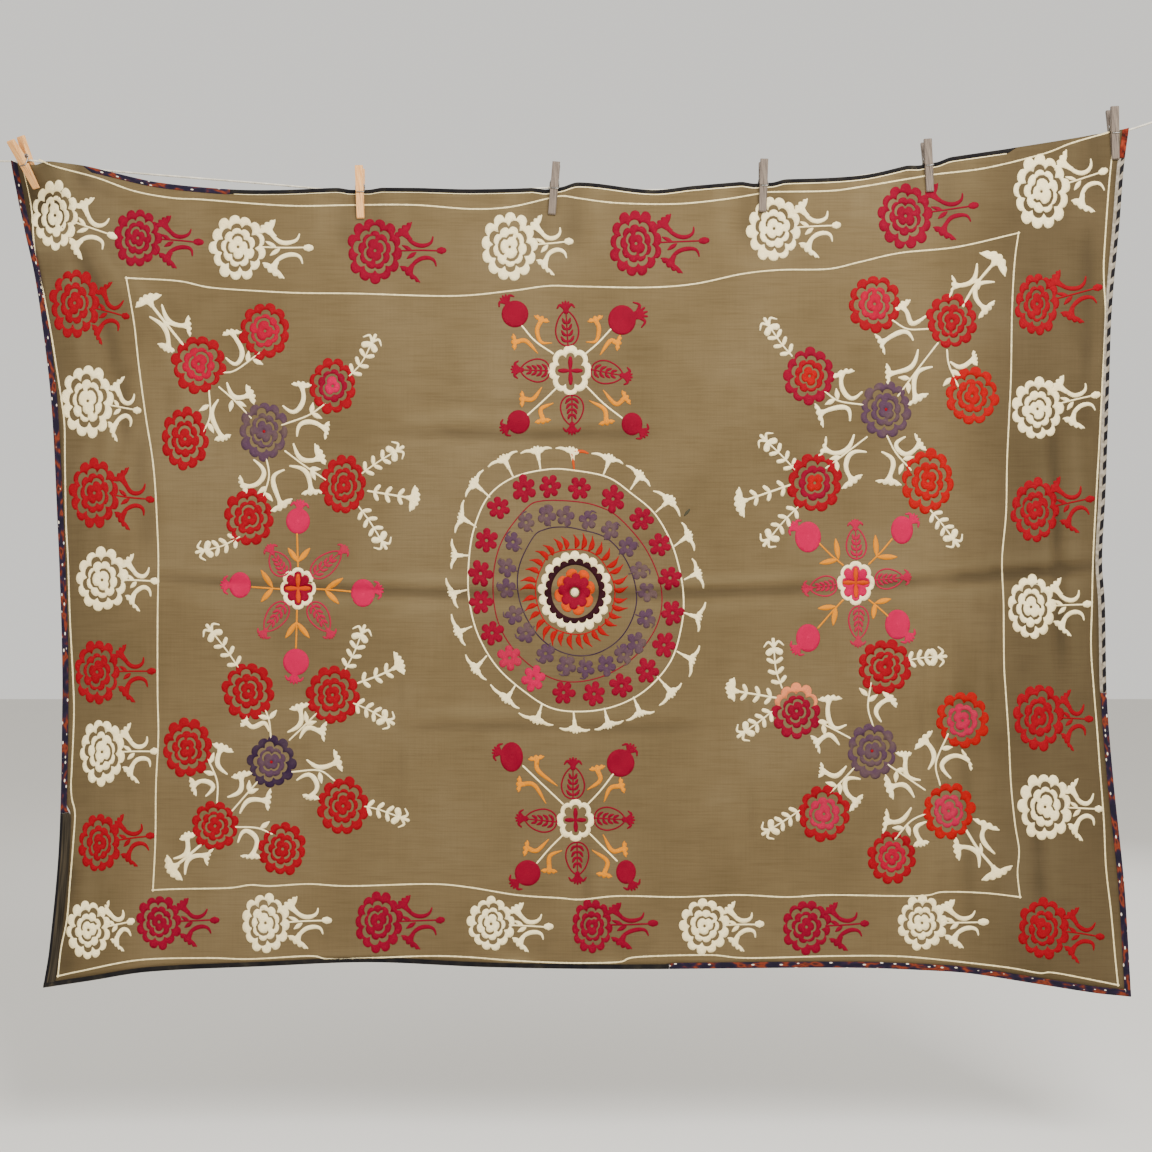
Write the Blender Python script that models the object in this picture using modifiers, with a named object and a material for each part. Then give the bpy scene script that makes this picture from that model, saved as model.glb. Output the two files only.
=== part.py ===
"""A suzani, an embroidered cotton cloth, hanging from six spring clothes pegs on a taut line.

The cloth is one thin sheet with its hanging outline and its main folds. Its edging strips are
butted to it, seam to seam. Each peg is two wooden legs and a wire spring, and its jaws hold the
cloth against the line. X runs along the line, Z is up, and the cloth's face looks towards -Y.
The origin is on the axis of the line, at the middle of its span.
"""

import math
from collections import namedtuple

import bpy
from mathutils import Matrix, Vector

MM = 0.001

# Cloth and edging
CLOTH_THICKNESS = 1.6
SEAM_GAP = 0.3
LARGEST_CELL = 45.0
TAPER = 0.8
TUCK_FLAT, TUCK_END, TUCK_FADE = 11.0, 34.0, 0.05
FOLD_TAPER = 0.22
FOOT_ROW = 0.047
FOLD_ROWS = (0.298, 0.318, 0.499, 0.513, 0.527, 0.678, 0.697)
CLAMP_FLAT, CLAMP_FADE = 12.0, 62.0
CLAMP_DROP, CLAMP_DROP_FADE = 52.0, 70.0

# Outlines are measured as seen from this far in front of the line and at this height, on a plane
# at this depth
SIGHT_DISTANCE, SIGHT_HEIGHT, SIGHT_DEPTH = 2400.0, -570.0, -7.0
SIGHT_ROUNDS = 3

# Line, and the knot and the loop that end it
LINE_RADIUS = 1.5
LINE_STEP = 27.0
KNOT_RADIUS, KNOT_VALLEY, KNOT_WRAPS, KNOT_WRAP_LENGTH = 3.6, 2.7, 3, 4.4
KNOT_CROWN = 0.32, 0.68
LOOP_RADIUS = 12.0

# Peg: heights are taken from the axis of the line, depths from the middle of the clamped cloth
PEG_WIDTH = 11.0
PEG_TOP, PEG_BOTTOM = 35.5, -39.5
JAW_DEPTH = 1.1
TIP_DEPTH, TIP_BEVEL = 4.6, 1.5
HANDLE_INNER, HANDLE_OUTER = 8.2, 14.2
COIL_HEIGHT, COIL_RADIUS, WIRE_RADIUS = 8.0, 2.5, 0.8
COIL_TURNS, COIL_POINTS = 3, 8
NOTCH_GAP, NOTCH_ARC, NOTCH_LIP = 0.4, (62.0, -68.0), 0.3
WIRE_BEND, WIRE_END = 1.2, 1.0
LINE_DEPTH = 2.6
SLOT_RADIUS = 2.1
GROOVE_HEIGHT, GROOVE_HALF, GROOVE_DEPTH = -2.5, 1.1, 8.5

Edge = namedtuple("Edge", "x z")
Peg = namedtuple("Peg", "name x z lean yaw pitch tuck wood")
Fold = namedtuple("Fold", "runs start end at_start at_middle at_end half_width back")
Swell = namedtuple("Swell", "x z wide tall out")
Strip = namedtuple("Strip", "name edge start end width cloth")

# The outline of the hanging cloth with its edging, each edge from left to right or top to bottom
TOP_EDGE = [
    Edge(-820, 38), Edge(-776, 33), Edge(-713, 25), Edge(-674, 16), Edge(-606, 1), Edge(-502, -9),
    Edge(-429, -10), Edge(-347, -7), Edge(-235, -7), Edge(-152, -9), Edge(-46, -6), Edge(6, 1),
    Edge(110, -10), Edge(171, -4), Edge(271, 4), Edge(412, 11), Edge(510, 32), Edge(641, 52),
    Edge(734, 67), Edge(774, 75), Edge(802, 81),
]
BOTTOM_EDGE = [
    Edge(-773, -1167), Edge(-706, -1157), Edge(-622, -1144), Edge(-458, -1136), Edge(-300, -1130),
    Edge(-129, -1137), Edge(62, -1140), Edge(397, -1138), Edge(532, -1143), Edge(577, -1147),
    Edge(666, -1161), Edge(755, -1175), Edge(805, -1180),
]
LEFT_EDGE = [
    Edge(-820, 38), Edge(-805, -46), Edge(-786, -129), Edge(-773, -213), Edge(-761, -319),
    Edge(-753, -468), Edge(-746, -652), Edge(-745, -760), Edge(-750, -961), Edge(-764, -1111),
    Edge(-773, -1167),
]
RIGHT_EDGE = [
    Edge(802, 81), Edge(795, 28), Edge(788, -60), Edge(777, -184), Edge(773, -299),
    Edge(768, -447), Edge(763, -547), Edge(767, -610), Edge(770, -748), Edge(780, -873),
    Edge(795, -1015), Edge(803, -1143), Edge(805, -1180),
]

# Each peg's place on the line, its turn in degrees, and how far it tucks the cloth's edge down
PEGS = [
    Peg("peg_1", -798.0, 33.0, -19.5, -33.0, 22.0, 8.1, "pine"),
    Peg("peg_2", -313.3, -11.5, -1.1, 0.0, 0.0, 3.1, "pine"),
    Peg("peg_3", -31.6, -6.0, 5.1, 0.0, 0.0, 3.7, "grey"),
    Peg("peg_4", 271.6, -2.0, 1.1, 0.0, 0.0, 4.1, "grey"),
    Peg("peg_5", 511.0, 27.0, -4.2, 0.0, 0.0, 4.1, "grey"),
    Peg("peg_6", 780.8, 74.0, -3.3, 0.0, 0.0, 1.2, "grey"),
]

# The line between its pegs, its left end led back to the wall side
LEFT_ROUTE = [(-862.0, 30.0, 42.0), (-842.0, 26.0, 40.0), (-823.0, 19.0, 38.0)]
SPAN_ROUTE = [
    [(-740.0, -1.0, 25.0), (-603.0, 0.0, 13.0), (-450.0, 0.0, 0.5)],
    [(-172.0, 0.0, -12.5)],
    [(120.0, 0.0, -8.5)],
    [(392.0, 0.0, 9.0)],
    [(645.0, 0.0, 47.5)],
]
RIGHT_ROUTE = [(822.0, 0.0, 84.5), (858.0, 0.0, 97.0)]

# Folds that run along X or along Z: where they start and end, their place across that at the
# start, middle and end, their half width, and how far they lie back (or forward, if negative)
FOLDS = [
    Fold("x", -735, 765, -560, -599, -552, 8, 4.0),
    Fold("x", 520, 790, -575, -567, -551, 10, 3.4),
    Fold("x", -330, 170, -361, -365, -362, 7, 2.2),
    Fold("x", -290, 130, -338, -340, -338, 12, -1.6),
    Fold("x", -300, 250, -787, -790, -785, 7, 1.3),
    Fold("x", -270, 220, -764, -766, -762, 12, -1.0),
    Fold("z", -18, -600, -752, -652, -618, 26, 4.6),
    Fold("z", -60, -430, -718, -585, -540, 26, -3.4),
    Fold("z", -280, -760, 690, 700, 706, 12, 3.0),
    Fold("z", -40, -400, 742, 736, 730, 22, 3.2),
    Fold("z", -830, -1090, 664, 668, 676, 14, 2.2),
    Fold("z", -640, -1150, 560, 566, 574, 16, 1.8),
    Fold("z", -830, -1140, 14, 15, 12, 13, 1.4),
    Fold("z", -960, -1180, -738, -742, -750, 24, 6.0),
]

# Soft swells: centre, reach each way and how far they stand out towards the viewer
SWELLS = [
    Swell(-540, -60, 120, 150, 8.0),
    Swell(-170, -50, 90, 140, 6.5),
    Swell(120, -60, 100, 130, 7.5),
    Swell(395, -40, 80, 120, 6.0),
    Swell(650, 10, 85, 150, 7.0),
    Swell(-420, -420, 260, 240, 7.0),
    Swell(330, -300, 300, 220, 6.0),
    Swell(-60, -900, 330, 260, 8.0),
    Swell(520, -900, 210, 230, 6.0),
    Swell(-770, -420, 60, 300, -9.0),
    Swell(785, -620, 50, 330, -7.0),
    Swell(-87, -1136, 34, 18, 7.0),
    Swell(43, -1140, 36, 18, 7.0),
    Swell(800, -1150, 110, 140, 9.0),
]
HANG_FORWARD = 4.4

# Edging strips, by the edge they follow and their stretch of it as a share of its length
STRIPS = [
    Strip("edging_left_print", "left", 0.0, 0.79, 9.0, "print"),
    Strip("edging_left_dark", "left", 0.79, 1.0, 16.0, "black"),
    Strip("edging_right_corner", "right", 0.0, 0.035, 9.0, "print"),
    Strip("edging_right_braid", "right", 0.035, 0.65, 10.0, "braid"),
    Strip("edging_right_print", "right", 0.65, 1.0, 9.0, "print"),
    Strip("edging_bottom_dark", "bottom", 0.0, 0.575, 7.0, "black"),
    Strip("edging_bottom_print", "bottom", 0.575, 1.0, 9.0, "print"),
    Strip("edging_top_print", "top", 0.068, 0.197, 8.0, "print"),
    Strip("edging_top_piping", "top", 0.197, 0.895, 6.5, "black"),
]

# Colour, roughness and metallic value of each stuff
STUFFS = {
    "cloth": ((0.275, 0.195, 0.088), 0.9, 0.0),
    "print": ((0.045, 0.02, 0.045), 0.9, 0.0),
    "black": ((0.012, 0.01, 0.012), 0.85, 0.0),
    "braid": ((0.20, 0.17, 0.14), 0.85, 0.0),
    "pine": ((0.73, 0.45, 0.22), 0.7, 0.0),
    "grey": ((0.33, 0.28, 0.24), 0.8, 0.0),
    "wire": ((0.35, 0.33, 0.31), 0.45, 1.0),
    "line": ((0.80, 0.76, 0.66), 0.8, 0.0),
}


def smooth(low, high, value):
    """A soft step from 0 at low to 1 at high."""
    share = min(1.0, max(0.0, (value - low) / (high - low)))
    return share * share * (3.0 - 2.0 * share)


def mix(a, b, share):
    """The value a share of the way from a to b."""
    return a + (b - a) * share


def curve_through(points, steps):
    """Points of a smooth curve through the given ones, with steps(length) pieces in each stretch."""
    rows = [Vector(point) for point in points]
    rows = [2 * rows[0] - rows[1]] + rows + [2 * rows[-1] - rows[-2]]
    found = []
    for before, start, end, after in zip(rows, rows[1:], rows[2:], rows[3:]):
        length = (end - start).length
        into = (end - before) * (length / ((start - before).length + length))
        out = (after - start) * (length / ((after - end).length + length))
        count = steps(length)
        for step in range(count):
            t = step / count
            found.append(
                (2 * t**3 - 3 * t**2 + 1) * start
                + (t**3 - 2 * t**2 + t) * into
                + (3 * t**2 - 2 * t**3) * end
                + (t**3 - t**2) * out
            )
    return found + [rows[-2]]


def edge_curve(points):
    """A function from 0..1 to the point of an edge, by length along its smooth curve."""
    rows = curve_through([(point.x, 0.0, point.z) for point in points], lambda length: 12)
    marks = [0.0]
    for one, two in zip(rows, rows[1:]):
        marks.append(marks[-1] + (two - one).length)

    def at(share):
        wanted = min(1.0, max(0.0, share)) * marks[-1]
        index = next(i for i, mark in enumerate(marks) if mark >= wanted or i == len(marks) - 1)
        index = max(1, index)
        part = (wanted - marks[index - 1]) / (marks[index] - marks[index - 1])
        return rows[index - 1].lerp(rows[index], part)

    return at, marks[-1]


EDGES = {
    "top": edge_curve(TOP_EDGE),
    "bottom": edge_curve(BOTTOM_EDGE),
    "left": edge_curve(LEFT_EDGE),
    "right": edge_curve(RIGHT_EDGE),
}
SPREAD = {"left": EDGES["bottom"][1], "right": EDGES["bottom"][1]}
SPREAD.update({"top": EDGES["left"][1], "bottom": EDGES["left"][1]})


def peg_frame(peg):
    """The peg's turn, and the middle of the cloth that it clamps."""
    turn = (
        Matrix.Rotation(math.radians(peg.lean), 3, "Y")
        @ Matrix.Rotation(math.radians(peg.pitch), 3, "X")
        @ Matrix.Rotation(math.radians(peg.yaw), 3, "Z")
    )
    front = turn @ Vector((0.0, -1.0, 0.0))
    return turn, front, Vector((peg.x, 0.0, peg.z)) + LINE_DEPTH * front


FRAMES = [(peg,) + peg_frame(peg) for peg in PEGS]


def fold_back(fold, x, z):
    """How far one fold moves the cloth back at a point."""
    along, across = (x, z) if fold.runs == "x" else (z, x)
    t = (along - fold.start) / (fold.end - fold.start)
    if not 0.0 < t < 1.0:
        return 0.0
    middle = (
        fold.at_start * (1 - t) * (1 - 2 * t)
        + fold.at_middle * 4 * t * (1 - t)
        + fold.at_end * t * (2 * t - 1)
    )
    taper = smooth(0.0, FOLD_TAPER, t) * smooth(0.0, FOLD_TAPER, 1.0 - t)
    return fold.back * taper * math.exp(-(((across - middle) / fold.half_width) ** 2))


def hang_depth(x, z):
    """The Y of the cloth's middle where no peg holds it."""
    y = -LINE_DEPTH - HANG_FORWARD
    for swell in SWELLS:
        y -= swell.out * math.exp(-(((x - swell.x) / swell.wide) ** 2) - ((z - swell.z) / swell.tall) ** 2)
    for fold in FOLDS:
        y += fold_back(fold, x, z)
    return y


def depth(x, z):
    """The Y of the cloth's middle, flat in each peg's jaws and soft between them."""
    y = hang_depth(x, z)
    for peg, _turn, front, middle in FRAMES:
        side = 1.0 - smooth(CLAMP_FLAT, CLAMP_FADE, abs(x - peg.x) - abs(peg.lean))
        drop = 1.0 - smooth(CLAMP_DROP, CLAMP_DROP + CLAMP_DROP_FADE, peg.z - z)
        if side * drop > 0.0:
            plane = middle.y - (front.x * (x - middle.x) + front.z * (z - middle.z)) / front.y
            y = mix(y, plane, side * drop)
    return y


def along_sight(x, z):
    """The point of the cloth on the line of sight through a measured place."""
    y = SIGHT_DEPTH
    for _ in range(SIGHT_ROUNDS):
        scale = (SIGHT_DISTANCE + y) / (SIGHT_DISTANCE + SIGHT_DEPTH)
        seen_x, seen_z = x * scale, SIGHT_HEIGHT + (z - SIGHT_HEIGHT) * scale
        y = depth(seen_x, seen_z)
    return Vector((seen_x, y, seen_z))


def sheet_point(u, v):
    """A point of the hanging sheet, from its share of the width and of the height."""
    top, bottom = EDGES["top"][0], EDGES["bottom"][0]
    left, right = EDGES["left"][0], EDGES["right"][0]
    flat = top(u).lerp(bottom(u), v) + left(v).lerp(right(v), u)
    flat -= top(0).lerp(top(1), u).lerp(bottom(0).lerp(bottom(1), u), v)
    for peg in PEGS:
        tuck = peg.tuck * (1.0 - smooth(TUCK_FLAT, TUCK_END, abs(flat.x - peg.x)))
        flat.z -= tuck * (1.0 - smooth(0.0, TUCK_FADE, v))
    return along_sight(flat.x, flat.z) * MM


def inset(edge, share):
    """The share of the sheet that the strip along an edge takes there, with its seam."""
    for strip in STRIPS:
        if strip.edge == edge and strip.start <= share <= strip.end:
            return (strip.width + SEAM_GAP) / SPREAD[edge]
    return 0.0


def divide(marks, length):
    """The marks, with more between them where a cell would be longer than the largest."""
    shares = [marks[0]]
    for one, two in zip(marks, marks[1:]):
        count = max(1, math.ceil((two - one) * length / LARGEST_CELL))
        shares += [mix(one, two, step / count) for step in range(1, count + 1)]
    return shares


def share_at(x):
    """The share of the top edge at a place along X."""
    low, high = 0.0, 1.0
    for _ in range(30):
        half = (low + high) / 2
        low, high = (half, high) if EDGES["top"][0](half).x < x else (low, half)
    return (low + high) / 2


def column_marks():
    """Columns: the ends of the top and bottom strips, and both sides of each peg's jaws."""
    marks = {0.0, 1.0}
    for strip in STRIPS:
        if strip.edge in ("top", "bottom"):
            marks.update((strip.start, strip.end))
    for peg in PEGS[1:-1]:
        marks.update((share_at(peg.x - TUCK_FLAT), share_at(peg.x + TUCK_FLAT)))
    marks.add(share_at(PEGS[0].x + TUCK_FLAT + abs(PEGS[0].lean)))
    marks.add(share_at(PEGS[-1].x - TUCK_FLAT - abs(PEGS[-1].lean)))
    return divide(sorted(marks), EDGES["top"][1])


def row_marks():
    """Rows: the ends of the side strips, the foot of the jaws, and both sides of the long folds."""
    marks = {0.0, 1.0, FOOT_ROW, *FOLD_ROWS}
    for strip in STRIPS:
        if strip.edge in ("left", "right"):
            marks.update((strip.start, strip.end))
    return divide(sorted(marks), EDGES["left"][1])


COLUMNS = column_marks()
ROWS = row_marks()


def tapered(shares):
    """Where a strip starts or ends on a plain stretch, the share at its end is none."""
    return [
        0.0 if 0 < i < len(shares) - 1 and min(shares[i - 1], shares[i + 1]) == 0.0 else share
        for i, share in enumerate(shares)
    ]


TOP_INSET = tapered([inset("top", mark) for mark in COLUMNS])
BOTTOM_INSET = [inset("bottom", mark) for mark in COLUMNS]
LEFT_INSET = [inset("left", mark) for mark in ROWS]
RIGHT_INSET = [inset("right", mark) for mark in ROWS]


def cloth_uv(i, j):
    """The cloth's own share of width and height at column i and row j, inside its edging."""
    u = min(max(COLUMNS[i], LEFT_INSET[j]), 1.0 - RIGHT_INSET[j])
    v = min(max(ROWS[j], TOP_INSET[i]), 1.0 - BOTTOM_INSET[i])
    return u, v


def stuff_material(stuff):
    """The material of one stuff, made once."""
    material = bpy.data.materials.get(stuff)
    if material is None:
        material = bpy.data.materials.new(stuff)
        material.use_nodes = True
        colour, roughness, metallic = STUFFS[stuff]
        shader = material.node_tree.nodes["Principled BSDF"]
        shader.inputs["Base Color"].default_value = (*colour, 1.0)
        shader.inputs["Roughness"].default_value = roughness
        shader.inputs["Metallic"].default_value = metallic
    return material


def add_object(name, data, stuff, collection):
    """An object of the part, with its material."""
    made = bpy.data.objects.new(name, data)
    collection.objects.link(made)
    if not data.materials:
        data.materials.append(stuff_material(stuff))
    return made


def add_sheet(name, points, stuff, collection):
    """A solid sheet on a grid of points, rows from the top down, its front towards -Y."""
    wide = len(points[0])
    faces = [
        (j * wide + i, (j + 1) * wide + i, (j + 1) * wide + i + 1, j * wide + i + 1)
        for j in range(len(points) - 1)
        for i in range(wide - 1)
    ]
    mesh = bpy.data.meshes.new(name)
    mesh.from_pydata([point for row in points for point in row], [], faces)
    mesh.validate()
    mesh.shade_smooth()
    made = add_object(name, mesh, stuff, collection)
    skin = made.modifiers.new("thickness", "SOLIDIFY")
    skin.thickness = CLOTH_THICKNESS * MM
    skin.offset = 0.0
    return made


def add_cloth(collection):
    """The embroidered cloth itself, one sheet."""
    points = [
        [sheet_point(*cloth_uv(i, j)) for i in range(len(COLUMNS))] for j in range(len(ROWS))
    ]
    return add_sheet("cloth", points, "cloth", collection)


def edge_rows(edge):
    """Along an edge: each mark, the cloth's own edge there, and the outer edge of its strip."""
    rows = []
    if edge in ("left", "right"):
        column, outer = (0, 0.0) if edge == "left" else (len(COLUMNS) - 1, 1.0)
        for j, mark in enumerate(ROWS):
            u, v = cloth_uv(column, j)
            rows.append((mark, sheet_point(u, v), sheet_point(outer, v)))
        rows.append((1.0, sheet_point(u, 1.0), sheet_point(outer, 1.0)))
    else:
        row, outer = (0, 0.0) if edge == "top" else (len(ROWS) - 1, 1.0)
        for i, mark in enumerate(COLUMNS):
            u, v = cloth_uv(i, row)
            rows.append((mark, sheet_point(u, v), sheet_point(u, outer)))
    return rows


def strip_pair(cloth, outer, away):
    """The two sides of a strip at one place: its outer edge, and its seam with the cloth."""
    return outer, cloth + away.normalized() * SEAM_GAP * MM


def strip_pairs(strip):
    """Both sides of a strip all along it, drawn to a point where the cloth's own hem goes on."""
    rows = [row for row in edge_rows(strip.edge) if strip.start <= row[0] <= strip.end]
    pairs = [strip_pair(cloth, outer, outer - cloth) for _mark, cloth, outer in rows]
    for end, before in ((0, 1), (-1, -2)):
        _mark, cloth, outer = rows[end]
        _mark, full_cloth, full_outer = rows[before]
        if (outer - cloth).length < SEAM_GAP * MM:
            pairs[end] = strip_pair(
                full_cloth.lerp(cloth, TAPER),
                full_outer.lerp(outer, TAPER),
                full_outer - full_cloth,
            )
        elif end == -1 and strip.end < 1.0:
            short = SEAM_GAP * MM / (pairs[end][0] - pairs[before][0]).length
            pairs[end] = tuple(a.lerp(b, short) for a, b in zip(pairs[end], pairs[before]))
    return pairs


def strip_points(strip):
    """The grid of points of a strip, rows from the top down."""
    pairs = strip_pairs(strip)
    if strip.edge == "left":
        return [[outer, seam] for outer, seam in pairs]
    if strip.edge == "right":
        return [[seam, outer] for outer, seam in pairs]
    outer_side, seam_side = zip(*pairs)
    if strip.edge == "top":
        return [list(outer_side), list(seam_side)]
    return [list(seam_side), list(outer_side)]


def add_strips(collection):
    """The edging strips, each along its own stretch of the cloth's edge."""
    for strip in STRIPS:
        add_sheet(strip.name, strip_points(strip), strip.cloth, collection)


def outer_depth(height):
    """How deep the outer face of a leg is at a height."""
    low, high = PEG_BOTTOM + TIP_BEVEL, PEG_TOP - TIP_BEVEL
    return mix(TIP_DEPTH, HANDLE_OUTER, (height - low) / (high - low))


def arc(depth_at, height_at, radius, start, end, count):
    """Points of an arc in a leg's outline, by angles in degrees from straight out."""
    angles = [math.radians(mix(start, end, step / count)) for step in range(count + 1)]
    return [(depth_at + radius * math.cos(a), height_at + radius * math.sin(a)) for a in angles]


def leg_outline():
    """A leg seen from the side, as depth and height: up its outer face, then down its inner one."""
    low, high = GROOVE_HEIGHT - GROOVE_HALF, GROOVE_HEIGHT + GROOVE_HALF
    outer = [
        (TIP_DEPTH - TIP_BEVEL, PEG_BOTTOM),
        (TIP_DEPTH, PEG_BOTTOM + TIP_BEVEL),
        (outer_depth(low), low),
        (GROOVE_DEPTH, low),
        (GROOVE_DEPTH, high),
        (outer_depth(high), high),
        (HANDLE_OUTER, PEG_TOP - TIP_BEVEL),
        (HANDLE_OUTER - TIP_BEVEL, PEG_TOP),
        (HANDLE_INNER, PEG_TOP),
    ]
    coil = arc(0.0, COIL_HEIGHT, COIL_RADIUS + WIRE_RADIUS + NOTCH_GAP, *NOTCH_ARC, 5)
    slot = arc(LINE_DEPTH, 0.0, SLOT_RADIUS, 90.0, -90.0, 6)
    inner = coil + [(JAW_DEPTH, coil[-1][1] - NOTCH_LIP), (JAW_DEPTH, SLOT_RADIUS)] + slot
    return outer + inner + [(JAW_DEPTH, -SLOT_RADIUS), (JAW_DEPTH, PEG_BOTTOM)]


def leg_curve():
    """The flat outline of a leg, thick enough for the peg's width."""
    curve = bpy.data.curves.new("leg", "CURVE")
    curve.dimensions = "2D"
    curve.fill_mode = "BOTH"
    curve.extrude = PEG_WIDTH / 2 * MM
    outline = leg_outline()
    spline = curve.splines.new("POLY")
    spline.points.add(len(outline) - 1)
    for point, (deep, high) in zip(spline.points, outline):
        point.co = (deep * MM, high * MM, 0.0, 1.0)
    spline.use_cyclic_u = True
    return curve


def wire_points():
    """The spring's wire in the peg's own axes: back arm, coil round X, front arm."""
    side = PEG_WIDTH / 2 + SEAM_GAP + WIRE_RADIUS
    hook = GROOVE_DEPTH + SEAM_GAP + WIRE_RADIUS
    fall = math.atan2(COIL_HEIGHT - GROOVE_HEIGHT, hook)
    start, end = fall - math.pi / 2, 1.5 * math.pi - fall
    total = COIL_TURNS * 2 * math.pi + end - start
    count = round(total / (2 * math.pi) * COIL_POINTS)
    coil = []
    for step in range(count + 1):
        angle = start + total * step / count
        coil.append(Vector((
            mix(-side, side, step / count),
            -COIL_RADIUS * math.cos(angle),
            COIL_HEIGHT + COIL_RADIUS * math.sin(angle),
        )))
    front = [
        Vector((side, -hook + WIRE_BEND, GROOVE_HEIGHT + WIRE_BEND)),
        Vector((side - 0.35 * WIRE_BEND, -hook + 0.3 * WIRE_BEND, GROOVE_HEIGHT + 0.2 * WIRE_BEND)),
        Vector((side - WIRE_BEND, -hook, GROOVE_HEIGHT)),
        Vector((WIRE_END - PEG_WIDTH / 2, -hook, GROOVE_HEIGHT)),
    ]
    back = [Vector((-point.x, -point.y, point.z)) for point in reversed(front)]
    return back + coil + front


def add_wire(name, points, radius, sides, stuff, collection):
    """A round wire or cord through the points, in metres."""
    curve = bpy.data.curves.new(name, "CURVE")
    curve.dimensions = "3D"
    curve.bevel_depth = radius * MM
    curve.bevel_resolution = sides
    curve.use_fill_caps = True
    spline = curve.splines.new("POLY")
    spline.points.add(len(points) - 1)
    for point, place in zip(spline.points, points):
        point.co = (*place, 1.0)
    return add_object(name, curve, stuff, collection)


def add_pegs(collection):
    """The six pegs, each a front leg, a back leg and a spring."""
    leg = {"pine": leg_curve(), "grey": leg_curve()}
    to_front = Matrix(((0, 0, -1), (-1, 0, 0), (0, 1, 0)))
    to_back = Matrix(((0, 0, 1), (1, 0, 0), (0, 1, 0)))
    for peg, turn, _front, middle in FRAMES:
        for side, stand in (("front", to_front), ("back", to_back)):
            made = add_object(f"{peg.name}_leg_{side}", leg[peg.wood], peg.wood, collection)
            made.matrix_world = Matrix.Translation(middle * MM) @ (turn @ stand).to_4x4()
        points = [(turn @ point + middle) * MM for point in wire_points()]
        add_wire(f"{peg.name}_spring", points, WIRE_RADIUS, 1, "wire", collection)


def line_route():
    """The route's own points: straight through each peg's jaws, free between the pegs."""
    route = [Vector(point) for point in LEFT_ROUTE]
    for index, (peg, turn, _front, _middle) in enumerate(FRAMES):
        clamp = Vector((peg.x, 0.0, peg.z))
        along = turn @ Vector((PEG_WIDTH / 2 + LINE_RADIUS, 0.0, 0.0))
        route += [clamp - along, clamp + along]
        if index < len(SPAN_ROUTE):
            route += [Vector(point) for point in SPAN_ROUTE[index]]
    return route + [Vector(point) for point in RIGHT_ROUTE]


def add_knot(name, end, away, collection):
    """A wrapped knot at the line's end: a turned barrel with a ridge for each wrap."""
    length = KNOT_WRAPS * KNOT_WRAP_LENGTH
    profile = [(0.0, length)]
    for wrap in range(KNOT_WRAPS):
        top = length - wrap * KNOT_WRAP_LENGTH
        profile.append((KNOT_VALLEY, top))
        profile += [(KNOT_RADIUS, top - share * KNOT_WRAP_LENGTH) for share in KNOT_CROWN]
    profile += [(KNOT_VALLEY, 0.0), (0.0, 0.0)]
    mesh = bpy.data.meshes.new(name)
    edges = [(i, i + 1) for i in range(len(profile) - 1)]
    mesh.from_pydata([(radius * MM, 0.0, high * MM) for radius, high in profile], edges, [])
    made = add_object(name, mesh, "line", collection)
    spin = made.modifiers.new("wraps", "SCREW")
    spin.steps = spin.render_steps = 12
    spin.use_merge_vertices = True
    spin.merge_threshold = 0.00001
    start = end + away * SEAM_GAP
    made.matrix_world = Matrix.Translation(start * MM) @ away.to_track_quat("Z", "Y").to_matrix().to_4x4()
    return start + away * length


def add_loop(name, start, away, collection):
    """The closed loop beyond the knot, which a hook would take."""
    bpy.ops.mesh.primitive_torus_add(
        major_segments=20,
        minor_segments=8,
        major_radius=LOOP_RADIUS * MM,
        minor_radius=LINE_RADIUS * MM,
    )
    made = bpy.context.object
    made.name = name
    made.data.name = name
    made.data.shade_smooth()
    made.data.materials.append(stuff_material("line"))
    for other in made.users_collection:
        other.objects.unlink(made)
    collection.objects.link(made)
    centre = start + away * (SEAM_GAP + LOOP_RADIUS + LINE_RADIUS)
    made.matrix_world = Matrix.Translation(centre * MM) @ Matrix.Rotation(math.pi / 2, 4, "X")


def add_line(collection):
    """The taut line, with a knot and a loop at each end."""
    points = curve_through(line_route(), lambda length: max(1, round(length / LINE_STEP)))
    add_wire("line", [point * MM for point in points], LINE_RADIUS, 2, "line", collection)
    for side, end, before in (("left", points[0], points[1]), ("right", points[-1], points[-2])):
        away = (end - before).normalized()
        after = add_knot(f"knot_{side}", end, away, collection)
        add_loop(f"loop_{side}", after, away, collection)


def main():
    """Builds the whole part."""
    for old in list(bpy.data.objects):
        bpy.data.objects.remove(old, do_unlink=True)
    collection = bpy.data.collections.new("suzani_on_line")
    bpy.context.scene.collection.children.link(collection)
    add_cloth(collection)
    add_strips(collection)
    add_pegs(collection)
    add_line(collection)


main()
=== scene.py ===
"""A suzani, an embroidered cotton cloth, hanging from six clothes pegs on a line.

The frame gives the solids. This script dresses them: a finely folded cloth, its stitching in
yarns of many colours, the sewn edging, the twisted line, and rounded pegs with wire springs.
The stitching is laid out in pixels of a square view of 1152 by 1152, and PIXEL gives their size.
"""

import logging
import math
import random
from dataclasses import dataclass, field
from enum import Enum
from typing import Callable, Iterable, Optional, Sequence

import bpy
import numpy as np
from mathutils import Matrix, Vector
from mathutils.bvhtree import BVHTree
from mathutils.geometry import delaunay_2d_cdt


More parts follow.
